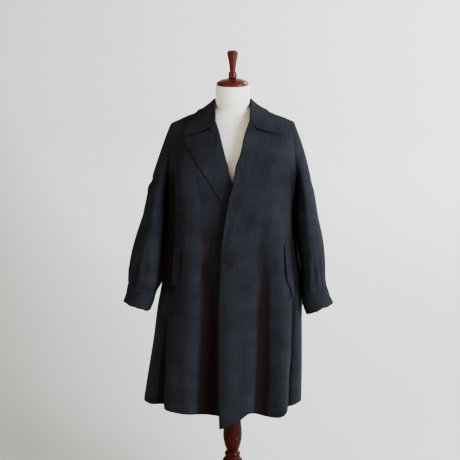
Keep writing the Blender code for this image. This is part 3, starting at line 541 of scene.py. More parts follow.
# Hand stitches: distance from one to the next, length, radius and how far they stand out. Then how much and
# how late their ends thin, and their rings and sides.
STITCH_PITCH = 0.0062
STITCH_LENGTH = 0.0040
STITCH_R = 0.00032
STITCH_RISE = 0.0003
STITCH_TAPER = 0.6
STITCH_BLUNTNESS = 4
STITCH_RINGS = 5
STITCH_SIDES = 6

# The backdrop: half its width, where its floor begins to bend up, the bend's radius and its steps
STAGE_REACH = 22.0
STAGE_BEND_Y = 8.5
STAGE_BEND = 3.0
STAGE_STEPS = 25

# How far rows of stitches run in from an edge, and the parts of an edge that they cover
HEM_TURN_UP = 0.028
EDGE_STITCH = 0.008
LEAF_STITCH = 0.007
CUFF_STITCH = 0.0055
SMALL_STITCH = 0.0048
BREAK_SHARE = 0.46
FREE_START = 0.05

# The cut of each piece: the model's part that it stands for, its width and length flat, its area where it
# isn't a rectangle, how it is held and what it lies on
CUTS = table(
    "piece node flat area held rests_on",
    ("left_front_cloth", "front_left", (0.46, 1.13), 0.375, "hung", "form_body"),
    ("right_front_cloth", "front_right", (0.47, 1.09), 0.38, "hung", "form_body"),
    ("back_cloth", "back", (0.86, 1.08), 0.695, "hung", "form_body"),
    ("collar_cloth", "collar", (0.48, 0.125), 0.051, "folded", "back_cloth"),
    ("left_lapel_cloth", "lapel_left", (0.17, 0.46), 0.0325, "folded", "left_front_cloth"),
    ("right_lapel_cloth", "lapel_right", (0.17, 0.46), 0.0325, "folded", "right_front_cloth"),
    ("left_sleeve_cloth", "sleeve_left", (0.42, 0.6), 0.168, "hung", "left_front_cloth"),
    ("right_sleeve_cloth", "sleeve_right", (0.43, 0.59), 0.172, "hung", "right_front_cloth"),
    ("left_cuff_cloth", "cuff_left", (0.3, 0.068), None, "hung", "left_sleeve_cloth"),
    ("right_cuff_cloth", "cuff_right", (0.31, 0.068), None, "hung", "right_sleeve_cloth"),
    ("left_flap_cloth", "pocket_flap_left", (0.036, 0.2), None, "laid", "left_front_cloth"),
    ("right_flap_cloth", "pocket_flap_right", (0.034, 0.15), None, "laid", "right_front_cloth"),
    ("tab_cloth", "front_tab", (0.06, 0.053), 0.0026, "laid", "left_front_cloth"),
)

# Tones of the two wools: darker and lighter yarns, then their painted shade for dips and the sides by the
# sleeves. The twill is its weave's scale.
NAVY_AND_SHADE = ((0.0118, 0.0118, 0.0142, 1), (0.024, 0.0246, 0.031, 1), (0.0118, 0.0072, 0.0069, 1))
NAVY_TWILL = 480.0
# The tab's wool is the navy cloth painted darker and greyer, as shaded
SHADED_TAB_WOOL = ((0.012, 0.0115, 0.012, 1), (0.022, 0.021, 0.0215, 1), (0.008, 0.0076, 0.0076, 1))
TAB_TWILL = 420.0

# Darker and lighter tones of the other materials, and the backdrop's painted shade towards its near left
THREAD = ((0.011, 0.0115, 0.014, 1), (0.024, 0.0255, 0.031, 1))
JERSEY = ((0.86, 0.825, 0.735, 1), (0.94, 0.915, 0.835, 1))
HORN = ((0.007, 0.006, 0.006, 1), (0.028, 0.02, 0.017, 1))
PAPER = ((0.722, 0.745, 0.740, 1), (0.752, 0.772, 0.770, 1))
PAPER_SHADE_TONE = (0.385, 0.410, 0.387, 1)
PAPER_SHADE_WAY = (-1.0, -0.27, 0.0)
PAPER_SHADE_START = -0.32
PAPER_SHADE_END = 0.66

# The mahogany's tones: the dark and the light of its bands, its clouds and its pores. The cap and the finial
# are painted lighter, as lit, and the pole and the base painted darker, as shaded; the cap and the finial
# are also glossier.
MAHOGANY = (
    (0.058, 0.008, 0.0048),
    (0.073, 0.0112, 0.0072),
    (0.043, 0.0064, 0.004),
    (0.03, 0.0048, 0.0032),
)
HEAD_PAINTED_LIGHT = 1.75
HEAD_GLOSS = 1.0
STAND_PAINTED_SHADE = 0.72
STAND_GLOSS = 0.4

# Soft daylight from the wearer's front left, a warmer fill, a wash over the backdrop, and the room's glow
LIGHTS = table(
    "name place target size power colour",
    ("window", (3.2, -2.3, 2.1), (0, 0, 1.0), (1.8, 2.2), 290, (0.8, 0.9, 1.0)),
    ("fill", (-2.8, -2.6, 1.9), (0, 0, 1.0), (2.4, 2.4), 45, (1.0, 0.93, 0.84)),
    ("wall wash", (6.0, 5.5, 5.5), (2.2, 8.5, 0.0), (4.0, 4.0), 1250, (0.95, 1.0, 1.0)),
)
ROOM_COLOUR = (1.0, 0.90, 0.75, 1)
ROOM_STRENGTH = 0.66
VIEW_TRANSFORM = "AgX"
VIEW_LOOK = "AgX - Medium High Contrast"

# The camera, higher than the finial and looking down on the coat
LENS_MM = 111.8
SENSOR_MM = 36
CAMERA_PLACE = (-0.0091, -4.8719, 2.1588)
CAMERA_TARGET = (-0.0091, 0.0, 1.034)

# Shade painted into the dips of the cloth, darker than on its ridges: how many columns and rows away the
# dips are measured, and the depth that counts in full
PAINTED_SHADE_REACHES = (7, 11)
PAINTED_SHADE_DEPTH = 0.0180

# The dark between body and sleeves: where it grows across the body's side, on the sleeve from its middle
# inwards, and going up, and where it fades again towards the back and the top
SIDE_SHADE = Ramp(0.182, 0.022)
SLEEVE_SHADE = Ramp(0.034, 0.010)
SHADE_BACK = Ramp(0.010, 0.060)
SHADE_LOW = Ramp(0.76, 0.10)
SHADE_TOP = Ramp(1.22, 0.14)
SHADE_DEPTH = 0.92


def smooth(value):
    """0 below 0, 1 above 1, and an S curve between."""
    held = np.clip(value, 0.0, 1.0)
    return held * held * (3 - 2 * held)


def ramp(value, along):
    """How far a value is along a ramp, from 0 to 1."""
    return smooth((value - along.start) / along.span)


def bell(value, width):
    """1 at 0, and fading softly to both sides."""
    return np.exp(-((value / width) ** 2))


def sine(degrees):
    return np.sin(np.radians(degrees))


def cosine(degrees):
    return np.cos(np.radians(degrees))


def shares(count):
    """Even shares from 0 to 1 in a number of steps."""
    return np.linspace(0, 1, count + 1)


def floats(first, second):
    """Two values as arrays of one shape."""
    return np.broadcast_arrays(np.asarray(first, float), np.asarray(second, float))


def xyz(x, y, z):
    return np.stack([x, y, z], axis=-1)


def points_at(at, places, points):
    """Points between those of a row, which lie at the places given."""
    return np.stack([np.interp(at, places, points[:, k]) for k in range(3)], axis=-1)


def unit(vectors):
    return vectors / np.maximum(np.linalg.norm(vectors, axis=-1, keepdims=True), TINY)


def signed_power(value, exponent):
    return np.sign(value) * np.abs(value) ** exponent


def read_table(rows, at):
    """The columns at each place on smooth curves through a table's rows; the first column is the place."""
    numbers = np.array(rows, float)
    keys = numbers[:, 0]
    at = np.asarray(at, float)
    last = len(rows) - 2
    i = np.clip(np.searchsorted(keys, at, side="right") - 1, 0, last)
    before_i, after_i = np.maximum(i - 1, 0), np.minimum(i + 2, last + 1)
    low, high, before, after = numbers[i], numbers[i + 1], numbers[before_i], numbers[after_i]
    step = (keys[i + 1] - keys[i])[..., None]
    t = np.clip((at - keys[i])[..., None] / step, 0.0, 1.0)
    slope_low = (high - before) / (keys[i + 1] - keys[before_i])[..., None]
    slope_high = (after - low) / (keys[after_i] - keys[i])[..., None]
    value = (
        low * (1 + 2 * t) * (1 - t) ** 2
        + high * t * t * (3 - 2 * t)
        + slope_low * step * t * (1 - t) ** 2
        - slope_high * step * t * t * (1 - t)
    )
    return type(rows[0])(*np.moveaxis(value, -1, 0))


def fold_depth(angle, level):
    """How far the long folds carry the cloth out, in metres."""
    total = 0.0
    for fold in FOLDS:
        share = level / fold.top_level
        centre = fold.hem_angle + (fold.top_angle - fold.hem_angle) * share
        away = (angle - centre + 180) % 360 - 180
        height = np.clip(1 - share, 0.0, 1.0) ** fold.fade
        total = total + fold.depth * height * bell(away, fold.width)
    around = (angle + 180) % 360 - 180
    swell = read_table(SWELLS, level)
    depth = np.where(around > 0, swell.left, swell.right)
    return total + depth * bell(np.abs(around) - SWELL_ANGLE, SWELL_WIDTH)


def shoulder_height(x):
    """Height of the shoulder line at a place across."""
    slope = SLOPE_LEFT + (SLOPE_RIGHT - SLOPE_LEFT) * smooth((NECK_HALF - x) / (2 * NECK_HALF))
    return SHOULDER_Z - slope * (np.hypot(x, NECK_SOFT) - NECK_HALF)


def nominal_height(level):
    """Height that the body table is read at: level 0 is the hem, 1 the chest and 2 the shoulder."""
    below = HEM_Z + (CHEST_Z - HEM_Z) * level
    above = SHOULDER_Z - ROUND * (1 - cosine(90 * (2 - level)))
    return np.where(level <= 1, below, above)


def bare_point(angle, level, drop=0.0):
    """A point on the coat's outside. Angle 0 is the centre front, 90 the wearer's left side."""
    angle, level = floats(angle, level)
    row = read_table(BODY, nominal_height(level))
    to_left, to_front = sine(angle), cosine(angle)
    half = np.where(to_left >= 0, row.left, row.right)
    depth = np.where(to_front >= 0, row.front, row.back)
    reach = (np.abs(to_left) ** row.power + np.abs(to_front) ** row.power) ** (-1 / row.power)
    across, along = to_left * reach, -to_front * reach
    normal_x = signed_power(across, row.power - 1) / half
    normal_y = signed_power(along, row.power - 1) / depth
    size = np.hypot(normal_x, normal_y)
    out = fold_depth(angle, level)
    x = half * across + normal_x / size * out
    y = depth * along + normal_y / size * out
    top = shoulder_height(x)
    hem = HEM_Z - drop + read_table(HEM, (angle + 180) % 360 - 180).rise
    turn = 90 * (2 - np.maximum(level, 1.0))
    y = np.where(level <= 1, y, y * sine(turn))
    z = np.where(level <= 1, hem + (top - ROUND - hem) * level, top - ROUND * (1 - cosine(turn)))
    return xyz(x, y + RIDGE_Y, z)


def normal_at(angle, level, drop=0.0):
    """The coat's outward normal, from its slopes round and up."""
    angle, level = floats(angle, level)
    low, high = np.maximum(0.0, level - LEVEL_STEP), np.minimum(2.0, level + LEVEL_STEP)
    front = cosine(angle) >= 0
    before, after = angle - ANGLE_STEP, angle + ANGLE_STEP
    before = np.where((cosine(before) >= 0) == front, before, angle)
    after = np.where((cosine(after) >= 0) == front, after, angle)
    round_it = bare_point(after, level, drop) - bare_point(before, level, drop)
    up_it = bare_point(angle, high, drop) - bare_point(angle, low, drop)
    return unit(np.cross(round_it, up_it))


def coat_point(angle, level, lift=0.0, drop=0.0):
    """A point at a height above the coat's outside, creases included."""
    out = np.asarray(lift + creases(angle, level))[..., None]
    return bare_point(angle, level, drop) + normal_at(angle, level, drop) * out


def waves(place, wave):
    """Soft, uneven waves over the cloth, between about -1 and 1."""
    random = np.random.default_rng(wave.seed)
    total = 0.0
    for _ in range(wave.count):
        across = random.uniform(*WAVE_SPREAD) / wave.pitch_round
        along = random.uniform(*WAVE_DRIFT) / wave.pitch_up
        phase = random.uniform(0, 2 * math.pi)
        total = total + np.sin(2 * math.pi * (across * place[0] + along * place[1]) + phase)
    return total / math.sqrt(wave.count)


def line_depth(place, start, end, width, depth):
    """A soft ridge or trough along one line, a little bent, uneven and faded at both ends."""
    (x, y), (x0, y0), (x1, y1) = place, start, end
    length = math.hypot(x1 - x0, y1 - y0)
    step_x, step_y = (x1 - x0) / length, (y1 - y0) / length
    along = ((x - x0) * step_x + (y - y0) * step_y) / length
    bend = LINE_BEND * width * np.sin(BEND_TURNS * along + BEND_PHASE * (x0 + y0))
    away = -(x - x0) * step_y + (y - y0) * step_x + bend
    fade = smooth(along / LINE_FADE + 0.5) * smooth((1 - along) / LINE_FADE + 0.5)
    unevenness = 1 + LINE_UNEVENNESS * np.sin(UNEVEN_TURNS * along + UNEVEN_PHASE * x1)
    return depth * fade * unevenness * bell(away, width)


def cloth_place(angle, level):
    """A place on the body in metres round it and up it."""
    up = np.where(level <= 1, LEVEL_M * level, LEVEL_M + OVER_M * (level - 1))
    return angle * ANGLE_M, up


def creases(angle, level):
    """Height of the creases and of the soft unevenness of hanging cloth."""
    angle = np.where(np.asarray(angle) < BACK_START, np.asarray(angle) + 360, angle)
    place = cloth_place(angle, np.asarray(level, float))
    total = sum(wave.height * waves(place, wave) for wave in UNEVENNESS)
    for crease in CREASES:
        start = cloth_place(crease.angle_low, crease.level_low)
        end = cloth_place(crease.angle_high, crease.level_high)
        total = total + line_depth(place, start, end, crease.width, crease.depth)
    around = np.abs((angle + 180) % 360 - 180)
    return total * (1 - UNDER_ARM_CALM * bell(around - UNDER_ARM_ANGLE, UNDER_ARM_WIDTH))


def angle_across(x, level):
    """Degrees from the centre front to a place across, on one level of the unfolded coat."""
    row = read_table(BODY, nominal_height(np.asarray(level, float)))
    across = np.minimum(1.0, np.abs(x) / np.where(np.asarray(x) >= 0, row.left, row.right))
    return np.degrees(np.arctan2(across, (1 - across ** row.power) ** (1 / row.power)))


def place_of(x, z):
    """Angle and level of the place on the front that is at x and z."""
    x, z = floats(x, z)
    top = shoulder_height(x)
    below = np.clip(top - z, 0.0, None)
    over = 2 - np.degrees(np.arccos(1 - np.minimum(below, ROUND) / ROUND)) / 90
    level = np.where(below < ROUND, over, (z - HEM_Z) / (top - ROUND - HEM_Z))
    return np.copysign(angle_across(x, level), x), level


def left_layer(angle, level):
    """The lapped front's lift: it passes over the other front, and below the break its edge stands proud."""
    over = LAP_LIFT * (1 - ramp(angle, LAP_FADE))
    proud = PROUD_EDGE * (1 - ramp(angle, PROUD_FADE)) * (1 - ramp(level, PROUD_TOP))
    return over + proud


def right_layer(angle, level):
    """The under front's lift: it sinks below the lapped one, up to where the two part."""
    return -UNDER_SINK * ramp(angle, SINK_GROWTH) * (1 - ramp(level, SINK_TOP))


def corner_drop(angle):
    """How far the lapped front's hem hangs below the rest, most at its corner."""
    x = bare_point(angle, 0.0)[..., 0]
    return CORNER_DROP * np.clip((CORNER_END_X - x) / (CORNER_END_X - CORNER_X), 0.0, 1.0)


def armhole_place(turn, side):
    """Angle and level on the armhole. Turn 0 is the shoulder, 90 the underarm; side is 1 for the front."""
    top_angle = angle_across(SHOULDER_HALF, 2.0)
    open_share = signed_power(cosine(turn), 2 / ARMHOLE_SQUARENESS)
    down_share = signed_power(sine(turn), 2 / ARMHOLE_SQUARENESS)
    angle = 90 - side * (SEAM_ANGLE + (90 - SEAM_ANGLE - top_angle) * open_share)
    return angle, 2 - (2 - UNDERARM_LEVEL) * down_share


def even_level(v):
    """Level at a share of the way up a panel, evenly spaced below the underarm and again above it."""
    skirt = UNDERARM_LEVEL * v / SKIRT_SHARE
    above = UNDERARM_LEVEL + (2 - UNDERARM_LEVEL) * (v - SKIRT_SHARE) / (1 - SKIRT_SHARE)
    return np.where(v <= SKIRT_SHARE, skirt, above)


def panel_places(first, last, across, top_bend=None):
    """Angles and levels between a panel's two side curves; a bend shapes its top edge."""
    v, u = shares(BODY_UP)[:, None], shares(across)[None, :]
    start, end = first(v), last(v)
    angle = start[0] + (end[0] - start[0]) * u
    level = start[1] + (end[1] - start[1]) * u
    if top_bend:
        above = np.clip((v - SKIRT_SHARE) / (1 - SKIRT_SHARE), 0.0, 1.0) ** TOP_BLEND
        bend = top_bend(u)
        level = level + (even_level(v) - level) * smooth(SIDE_BLEND * np.minimum(u, 1 - u))
        angle = angle + bend[0] * above
        level = level + bend[1] * above
    return angle, level


def side_edge(side, mirrored):
    """The curve up a side seam and round the armhole; side is 1 for a front panel and -1 for the back."""

    def curve(v):
        turn = 90 * (1 - np.maximum(v, SKIRT_SHARE)) / (1 - SKIRT_SHARE)
        hole_angle, hole_level = armhole_place(turn, side)
        angle = np.where(v <= SKIRT_SHARE, 90 - side * SEAM_ANGLE, hole_angle)
        level = np.where(v <= SKIRT_SHARE, even_level(v), hole_level)
        return (-angle if mirrored else angle), level

    return curve


def edge_places(rows, neck_x):
    """A front edge's angle at each level, up its roll line and on to the shoulder at the neck."""
    angles, levels = place_of([edge.x for edge in rows], [edge.z for edge in rows])
    neck_angle = place_of(neck_x, shoulder_height(neck_x))[0]
    return table("level angle", *zip(levels, angles), (2.0, float(neck_angle)))


def front_edge(rows, neck_x):
    """The curve up a front edge."""
    places = edge_places(rows, neck_x)

    def curve(v):
        level = even_level(v)
        return read_table(places, level).angle, level

    return curve


def grid_normals(points, closed=False):
    """Outward unit normals of a grid of points, rows by columns."""
    if closed:
        across = np.roll(points, -1, axis=1) - np.roll(points, 1, axis=1)
    else:
        across = np.gradient(points, axis=1)
    return unit(np.cross(across, np.gradient(points, axis=0)))


def lengths(points, axis):
    """Metres along the rows or columns of a grid, from its first point."""
    steps = np.linalg.norm(np.diff(points, axis=axis), axis=-1)
    start = np.zeros_like(np.take(steps, [0], axis=axis))
    return np.concatenate([start, np.cumsum(steps, axis=axis)], axis=axis)


def edge_distances(points):
    """Metres from each point of a grid to its first and last column and its first and last row."""
    across, up = lengths(points, 1), lengths(points, 0)
    return {"left": across, "right": across[:, -1:] - across, "bottom": up, "top": up[-1:] - up}


def rolled(points, seams=(), edges=()):
    """The grid with its sewn sides rolled in as at a seam, and its free sides rounded off."""
    away = edge_distances(points)
    sink = np.zeros(points.shape[:2])
    for side in seams:
        sink = np.maximum(sink, SEAM_ROLL * bell(away[side], SEAM_WIDTH))
    for side in edges:
        sink = np.maximum(sink, EDGE_ROLL * bell(away[side], EDGE_WIDTH))
    return points - grid_normals(points) * sink[..., None]


def round_turns(count):
    """Even turns round a circle, in radians."""
    return 2 * math.pi * np.arange(count) / count


def ringed(index):
    """A grid of point numbers with its first column again at its end."""
    return np.concatenate([index, index[:, :1]], axis=1)


def grid_quads(index):
    """Faces between the neighbours of a grid of point numbers."""
    corners = [index[:-1, :-1], index[:-1, 1:], index[1:, 1:], index[1:, :-1]]
    return np.stack(corners, axis=-1).reshape(-1, 4)


def capped_tube(up, across):
    """Faces of a tube of rings with a cap on each end."""
    index = np.arange(up * across).reshape(up, across)
    return grid_quads(ringed(index)).tolist() + [index[0, ::-1].tolist(), index[-1].tolist()]


def new_mesh(name, points, faces):
    mesh = bpy.data.meshes.new(name)
    mesh.from_pydata(points, [], faces)
    mesh.shade_smooth()
    return mesh


def new_object(name, data):
    """A new object in the scene."""
    obj = bpy.data.objects.new(name, data)
    bpy.context.scene.collection.objects.link(obj)
    return obj


def add_piece(name, mesh, material, node=None):
    """A piece that rides on the one body and the node that it replaces, if any."""
    mesh.materials.append(material)
    obj = new_object(name, mesh)
    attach(obj, "root")
    if node:
        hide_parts(node)
    return obj


def rim_loops(index, closed):
    """Point numbers along each open edge of a grid, each with its neighbours one step in."""
    if closed:
        return [(index[0], index[1]), (index[-1, ::-1], index[-2, ::-1])]
    rim = np.concatenate([index[0, :-1], index[:-1, -1], index[-1, :0:-1], index[:0:-1, 0]])
    near = np.concatenate([index[1, :-1], index[:-1, -2], index[-2, :0:-1], index[:0:-1, 1]])
    return [(rim, near)]


def shell_mesh(name, outer, closed=False, thickness=CLOTH, flip=False, shade=None):
    """A thin closed wall under a grid of points, with a rounded rim and the cloth's own coordinates."""
    if flip:
        outer = outer[:, ::-1]
    inner = outer - grid_normals(outer, closed) * thickness
    index = np.arange(outer[..., 0].size).reshape(outer.shape[:2])
    count = index.size
    quads = grid_quads(ringed(index) if closed else index)
    faces = [quads, quads[:, ::-1] + count]
    flat, under = outer.reshape(-1, 3), inner.reshape(-1, 3)
    points = [flat, under]
    start = 2 * count
    for rim, near in rim_loops(index, closed):
        out = unit(flat[rim] - flat[near])
        points.append((flat[rim] + under[rim]) / 2 + out * thickness * RIM_BULGE)
        middle = start + np.arange(len(rim))
        after_rim, after_middle = np.roll(rim, -1), np.roll(middle, -1)
        faces.append(np.stack([rim, middle, after_middle, after_rim], axis=-1))
        faces.append(np.stack([middle, rim + count, after_rim + count, after_middle], axis=-1))
        start += len(rim)
    mesh = new_mesh(name, np.concatenate(points).tolist(), np.concatenate(faces).tolist())
    set_cloth_uv(mesh, outer, index, start)
    # Shade painted into the cloth's colour: in its dips, and where given, on its sides beside the sleeves
    dark = painted_dip_shade(outer, closed)
    if shade:
        dark = np.maximum(dark, shade(outer))
    painted_shade = np.full(start, 0.5, np.float32)
    painted_shade[:count] = dark.reshape(-1)
    mesh.attributes.new("painted_shade", "FLOAT", "POINT").data.foreach_set("value", painted_shade)
    return mesh


def painted_dip_shade(points, closed):
    """How far each point of a grid lies in a dip, 1, or on a ridge, 0, which sets the shade painted there.
    """
    normals = grid_normals(points, closed)
    total = 0.0
    for reach in PAINTED_SHADE_REACHES:
        for axis in (0, 1):
            mode = "wrap" if closed and axis == 1 else "edge"
            widths = [(reach, reach) if k == axis else (0, 0) for k in range(3)]
            padded = np.pad(points, widths, mode=mode)
            size = points.shape[axis]
            before = np.take(padded, range(size), axis=axis)
            after = np.take(padded, range(2 * reach, 2 * reach + size), axis=axis)
            total = total + np.sum(((before + after) / 2 - points) * normals, axis=-1)
    return np.clip(0.5 + total / (2 * PAINTED_SHADE_DEPTH), 0.0, 1.0)


def shade_up(points):
    """How much of the dark beside the sleeves there is at each height."""
    return SHADE_DEPTH * ramp(points[..., 2], SHADE_LOW) * (1 - ramp(points[..., 2], SHADE_TOP))


def side_shade(points):
    """How much of the body's side lies in the dark beside the sleeves."""
    behind = ramp(points[..., 1], SHADE_BACK)
    return shade_up(points) * ramp(np.abs(points[..., 0]), SIDE_SHADE) * (1 - behind)


def sleeve_shade(points):
    """How much of a sleeve's inner side lies in the dark beside the body."""
    across = np.abs(points[..., 0])
    return shade_up(points) * ramp(across.mean(axis=1, keepdims=True) - across, SLEEVE_SHADE)


def set_cloth_uv(mesh, outer, index, total):
    """Coordinates in metres across and up the cloth, so that a weave keeps its scale and direction."""
    across, up = lengths(outer, 1), lengths(outer, 0)
    middle = outer.shape[1] // 2
    place = np.zeros((total, 2))
    place[: index.size, 0] = (across - across[:, middle : middle + 1]).reshape(-1)
    place[: index.size, 1] = up.reshape(-1)
    place[index.size : 2 * index.size] = place[: index.size]
    corners = np.zeros(len(mesh.loops), int)
    mesh.loops.foreach_get("vertex_index", corners)
    layer = mesh.uv_layers.new(name="cloth")
    layer.data.foreach_set("uv", place[corners].astype(np.float32).reshape(-1))


def front_grid(edge_rows, layer, drops, neck_x, mirrored):
    """A front panel's outside, from its edge to the side seam."""
    inner, outer = front_edge(edge_rows, neck_x), side_edge(1, mirrored)
    start, end = (outer, inner) if mirrored else (inner, outer)
    angle, level = panel_places(start, end, FRONT_ACROSS)
    drop = corner_drop(angle) if drops else 0.0
    return coat_point(angle, level, layer(angle, level), drop)


def back_neck_place(turn):
    """Angle and level on the back neckline; turn 0 is the shoulder and 90 the centre back."""
    row = read_table(BODY, SHOULDER_Z)
    x = NECK_HALF * cosine(turn)
    depth = row.back * (1 - (x / row.left) ** row.power) ** (1 / row.power)
    over = np.arcsin(BACK_NECK * sine(turn) / depth)
    return 180 - angle_across(x, 2.0), 2 - np.degrees(over) / 90


def back_grid():
    """The back panel's outside, from side seam to side seam, scooped behind the neck."""
    first, mirror = side_edge(-1, False), side_edge(-1, True)
    arm_angle, neck_angle = first(1.0)[0], back_neck_place(0.0)[0]

    def last(v):
        return 360 + mirror(v)[0], mirror(v)[1]

    def top_bend(u):
        share = np.abs(2 * u - 1)
        neck = back_neck_place(90 * (1 - np.minimum(share / NECK_SHARE, 1.0)))
        beyond = neck_angle + (arm_angle - neck_angle) * (share - NECK_SHARE) / (1 - NECK_SHARE)
        angle = np.where(share < NECK_SHARE, neck[0], beyond)
        level = np.where(share < NECK_SHARE, neck[1], 2.0)
        bend = angle - (180 + (arm_angle - 180) * share)
        return np.where(u < 0.5, bend, -bend), level - 2

    angle, level = panel_places(first, last, BACK_ACROSS, top_bend)
    return coat_point(angle, level)


def gorge_bend(u):
    """How the gorge dips from the roll line to the notch and rises again to the point, between 0 and 1."""
    return np.where(u < NOTCH_SHARE, u / NOTCH_SHARE, (1 - u) / (1 - NOTCH_SHARE))


def lapel_grid(edge_rows, outer_rows, layer, mirrored, gorge):
    """A lapel turned out on its front: round the roll line, out to its edge and up to the collar's gorge."""
    sign = -1 if mirrored else 1
    v = shares(LAPEL_UP)[:, None]
    roll_z = BREAK_Z + (edge_rows[-1].z - GORGE_SEAM - BREAK_Z) * v
    outer_z = BREAK_Z + (outer_rows[-1].z - BREAK_Z) * v
    level = place_of(read_table(edge_rows, roll_z).x, roll_z)[1]
    edge = bare_point(read_table(edge_places(edge_rows, sign * NECK_HALF), level).angle, level)
    roll_x, roll_z = edge[..., 0], edge[..., 2]
    lean = np.gradient(roll_x, axis=0) / np.gradient(roll_z, axis=0)
    turns = np.radians(np.linspace(*ROLL_ARC, ROLL_TURNS))[None, :]
    into = ROLL_OUT * np.cos(turns) * np.hypot(1.0, lean) * ramp(v, ROLL_GROWTH)
    angle, level = place_of(roll_x - sign * into, roll_z + 0 * into)
    wrap = coat_point(angle, level, layer(angle, level) + ROLL_UP * np.sin(turns))
    u = np.linspace(LEAF_START, 1, LAPEL_ACROSS + 1)[None, :]
    outer_x = read_table(outer_rows, outer_z).x
    x = roll_x + (outer_x - roll_x) * u
    z = roll_z + (outer_z - roll_z) * u - GORGE_DIP * gorge_bend(u) * v ** GORGE_FADE
    angle, level = place_of(x, z)
    bulge = LAPEL_BULGE * (1 - u) ** 2 * smooth(v * BULGE_RISE)
    leaf = coat_point(angle, level, layer(angle, level) + LAYER + CLOTH + bulge)
    grid = np.concatenate([wrap, leaf], axis=1)
    across = np.concatenate([np.zeros(ROLL_TURNS), u[0]])
    along = np.linspace(0, 1, len(gorge))
    seam = points_at(across, along, gorge)
    joined = (1 - ramp(across, GORGE_OPENS))[None, :] * v ** GORGE_CLOSES
    grid = grid + (seam - grid[-1])[None] * joined[..., None]
    return grid[:, ::-1] if mirrored else grid


def arch_bare(x, turn):
    """A point on the coat's outside near the shoulder, from its place across and turn over the shoulder."""
    level = 2 - np.abs(turn) / 90
    angle = np.where(turn >= 0, angle_across(x, level), 180 - angle_across(x, level))
    return bare_point(np.copysign(angle, x), level)


def arch_point(x, turn, lift):
    """A point above the coat's outside near the shoulder."""
    across = arch_bare(x + ARCH_STEP, turn) - arch_bare(x - ARCH_STEP, turn)
    over = arch_bare(x, turn - ARCH_TURN) - arch_bare(x, turn + ARCH_TURN)
    return arch_bare(x, turn) + unit(np.cross(across, over)) * lift


def collar_grid():
    """The collar and its stand: a row for each place from the right notch to the left one."""
    share = np.linspace(-1, 1, 2 * COLLAR_ALONG + 1)
    side = np.where(share >= 0, 1.0, -1.0)
    row = read_table(COLLAR, 1 - np.abs(share))
    neck = arch_point(side * row.neck_x, row.neck_turn, 0.0)
    crest = neck + xyz(side * row.crest_x, row.crest_y, row.crest_z)
    away = unit((crest - [0.0, RIDGE_Y, 0.0]) * [1.0, 1.0, 0.0])
    up = np.array([0.0, 0.0, 1.0])
    centre = crest + away * CREST_R
    low = neck - up * STAND_SINK
    first = centre - away * CREST_R
    columns = [low + (first - low) * k / STAND_STEPS for k in range(STAND_STEPS)]
    for turn in np.radians(np.linspace(*CREST_ARC, CREST_STEPS)):
        columns.append(centre + away * (CREST_R * math.cos(turn)) + up * (CREST_R * math.sin(turn)))
    foot = arch_point(side * (row.neck_x + STAND_ROOM), row.neck_turn, COLLAR_LIFT)
    start = columns[-1] - foot
    for u in shares(LEAF_ACROSS)[1:]:
        x = row.neck_x + STAND_ROOM + (row.edge_x - row.neck_x - STAND_ROOM) * u
        turn = row.neck_turn + (row.edge_turn - row.neck_turn) * u
        turn = turn + GORGE_DIP_DEG * gorge_bend(u) * (1 - smooth(row.place / GORGE_DIP_SHARE))
        columns.append(arch_point(side * x, turn, COLLAR_LIFT) + start * (1 - u) ** LEAF_FALL)
    return np.stack(columns, axis=1)


def ring_points(rows, side, z):
    """Points round a sleeve's rings. Each row starts away from the body and goes round by the front."""
    ring = read_table(sorted(rows), z)
    turn = round_turns(SLEEVE_ROUND)[None, :]
    across = side * ring.half_width * np.cos(turn)
    along = -ring.half_depth * np.sin(turn)
    tilt, pitch = np.radians(-side * ring.tilt), np.radians(-ring.pitch)
    up = along * np.sin(pitch)
    x = ring.x + across * np.cos(tilt) + up * np.sin(tilt)
    height = z - across * np.sin(tilt) + up * np.cos(tilt)
    return xyz(x, ring.y + along * np.cos(pitch), height)


def armhole_points(side):
    """Points round the armhole, from the shoulder down the front to the underarm and up the back."""
    share = np.arange(SLEEVE_ROUND) / SLEEVE_ROUND
    front = armhole_place(180 * np.minimum(share, 0.5), 1)
    back = armhole_place(180 * np.minimum(1 - share, 0.5), -1)
    angle, level = np.where(share <= 0.5, front, back)
    return coat_point(side * angle, level)


def sleeve_grid(rows, side):
    """A sleeve's outside, from the cuff seam up to the armhole."""
    z = np.linspace(rows[-1].z, rows[0].z, SLEEVE_UP + 1)[:, None]
    tube = ring_points(rows, side, z)
    axis = unit(tube[-1].mean(axis=0) - tube[-2].mean(axis=0))
    hole, end = armhole_points(side), tube[-1]
    top = np.cos(round_turns(SLEEVE_ROUND))
    out = unit(xyz(side * (CAP_OUT + CAP_OUT_TOP * top), 0 * top, 0 * top - 1))
    reach = np.linalg.norm(end - hole, axis=-1, keepdims=True) / 3
    second, third = hole + out * reach, end + axis * reach
    t = 1 - np.arange(1, SLEEVE_CAP_UP + 1)[:, None, None] / SLEEVE_CAP_UP
    cap = hole * (1 - t) ** 3 + second * 3 * t * (1 - t) ** 2 + third * 3 * t * t * (1 - t) + end * t ** 3
    grid = np.concatenate([tube, cap])
    outward = grid_normals(grid, closed=True) * -side
    creased = grid + outward * sleeve_creases(grid, side)[..., None]
    tucked = hole - (hole - hole.mean(axis=0)) * TUCK_SHARE - np.array([side * SEAM_TURN_IN, 0.0, 0.0])
    return np.concatenate([creased, tucked[None]])


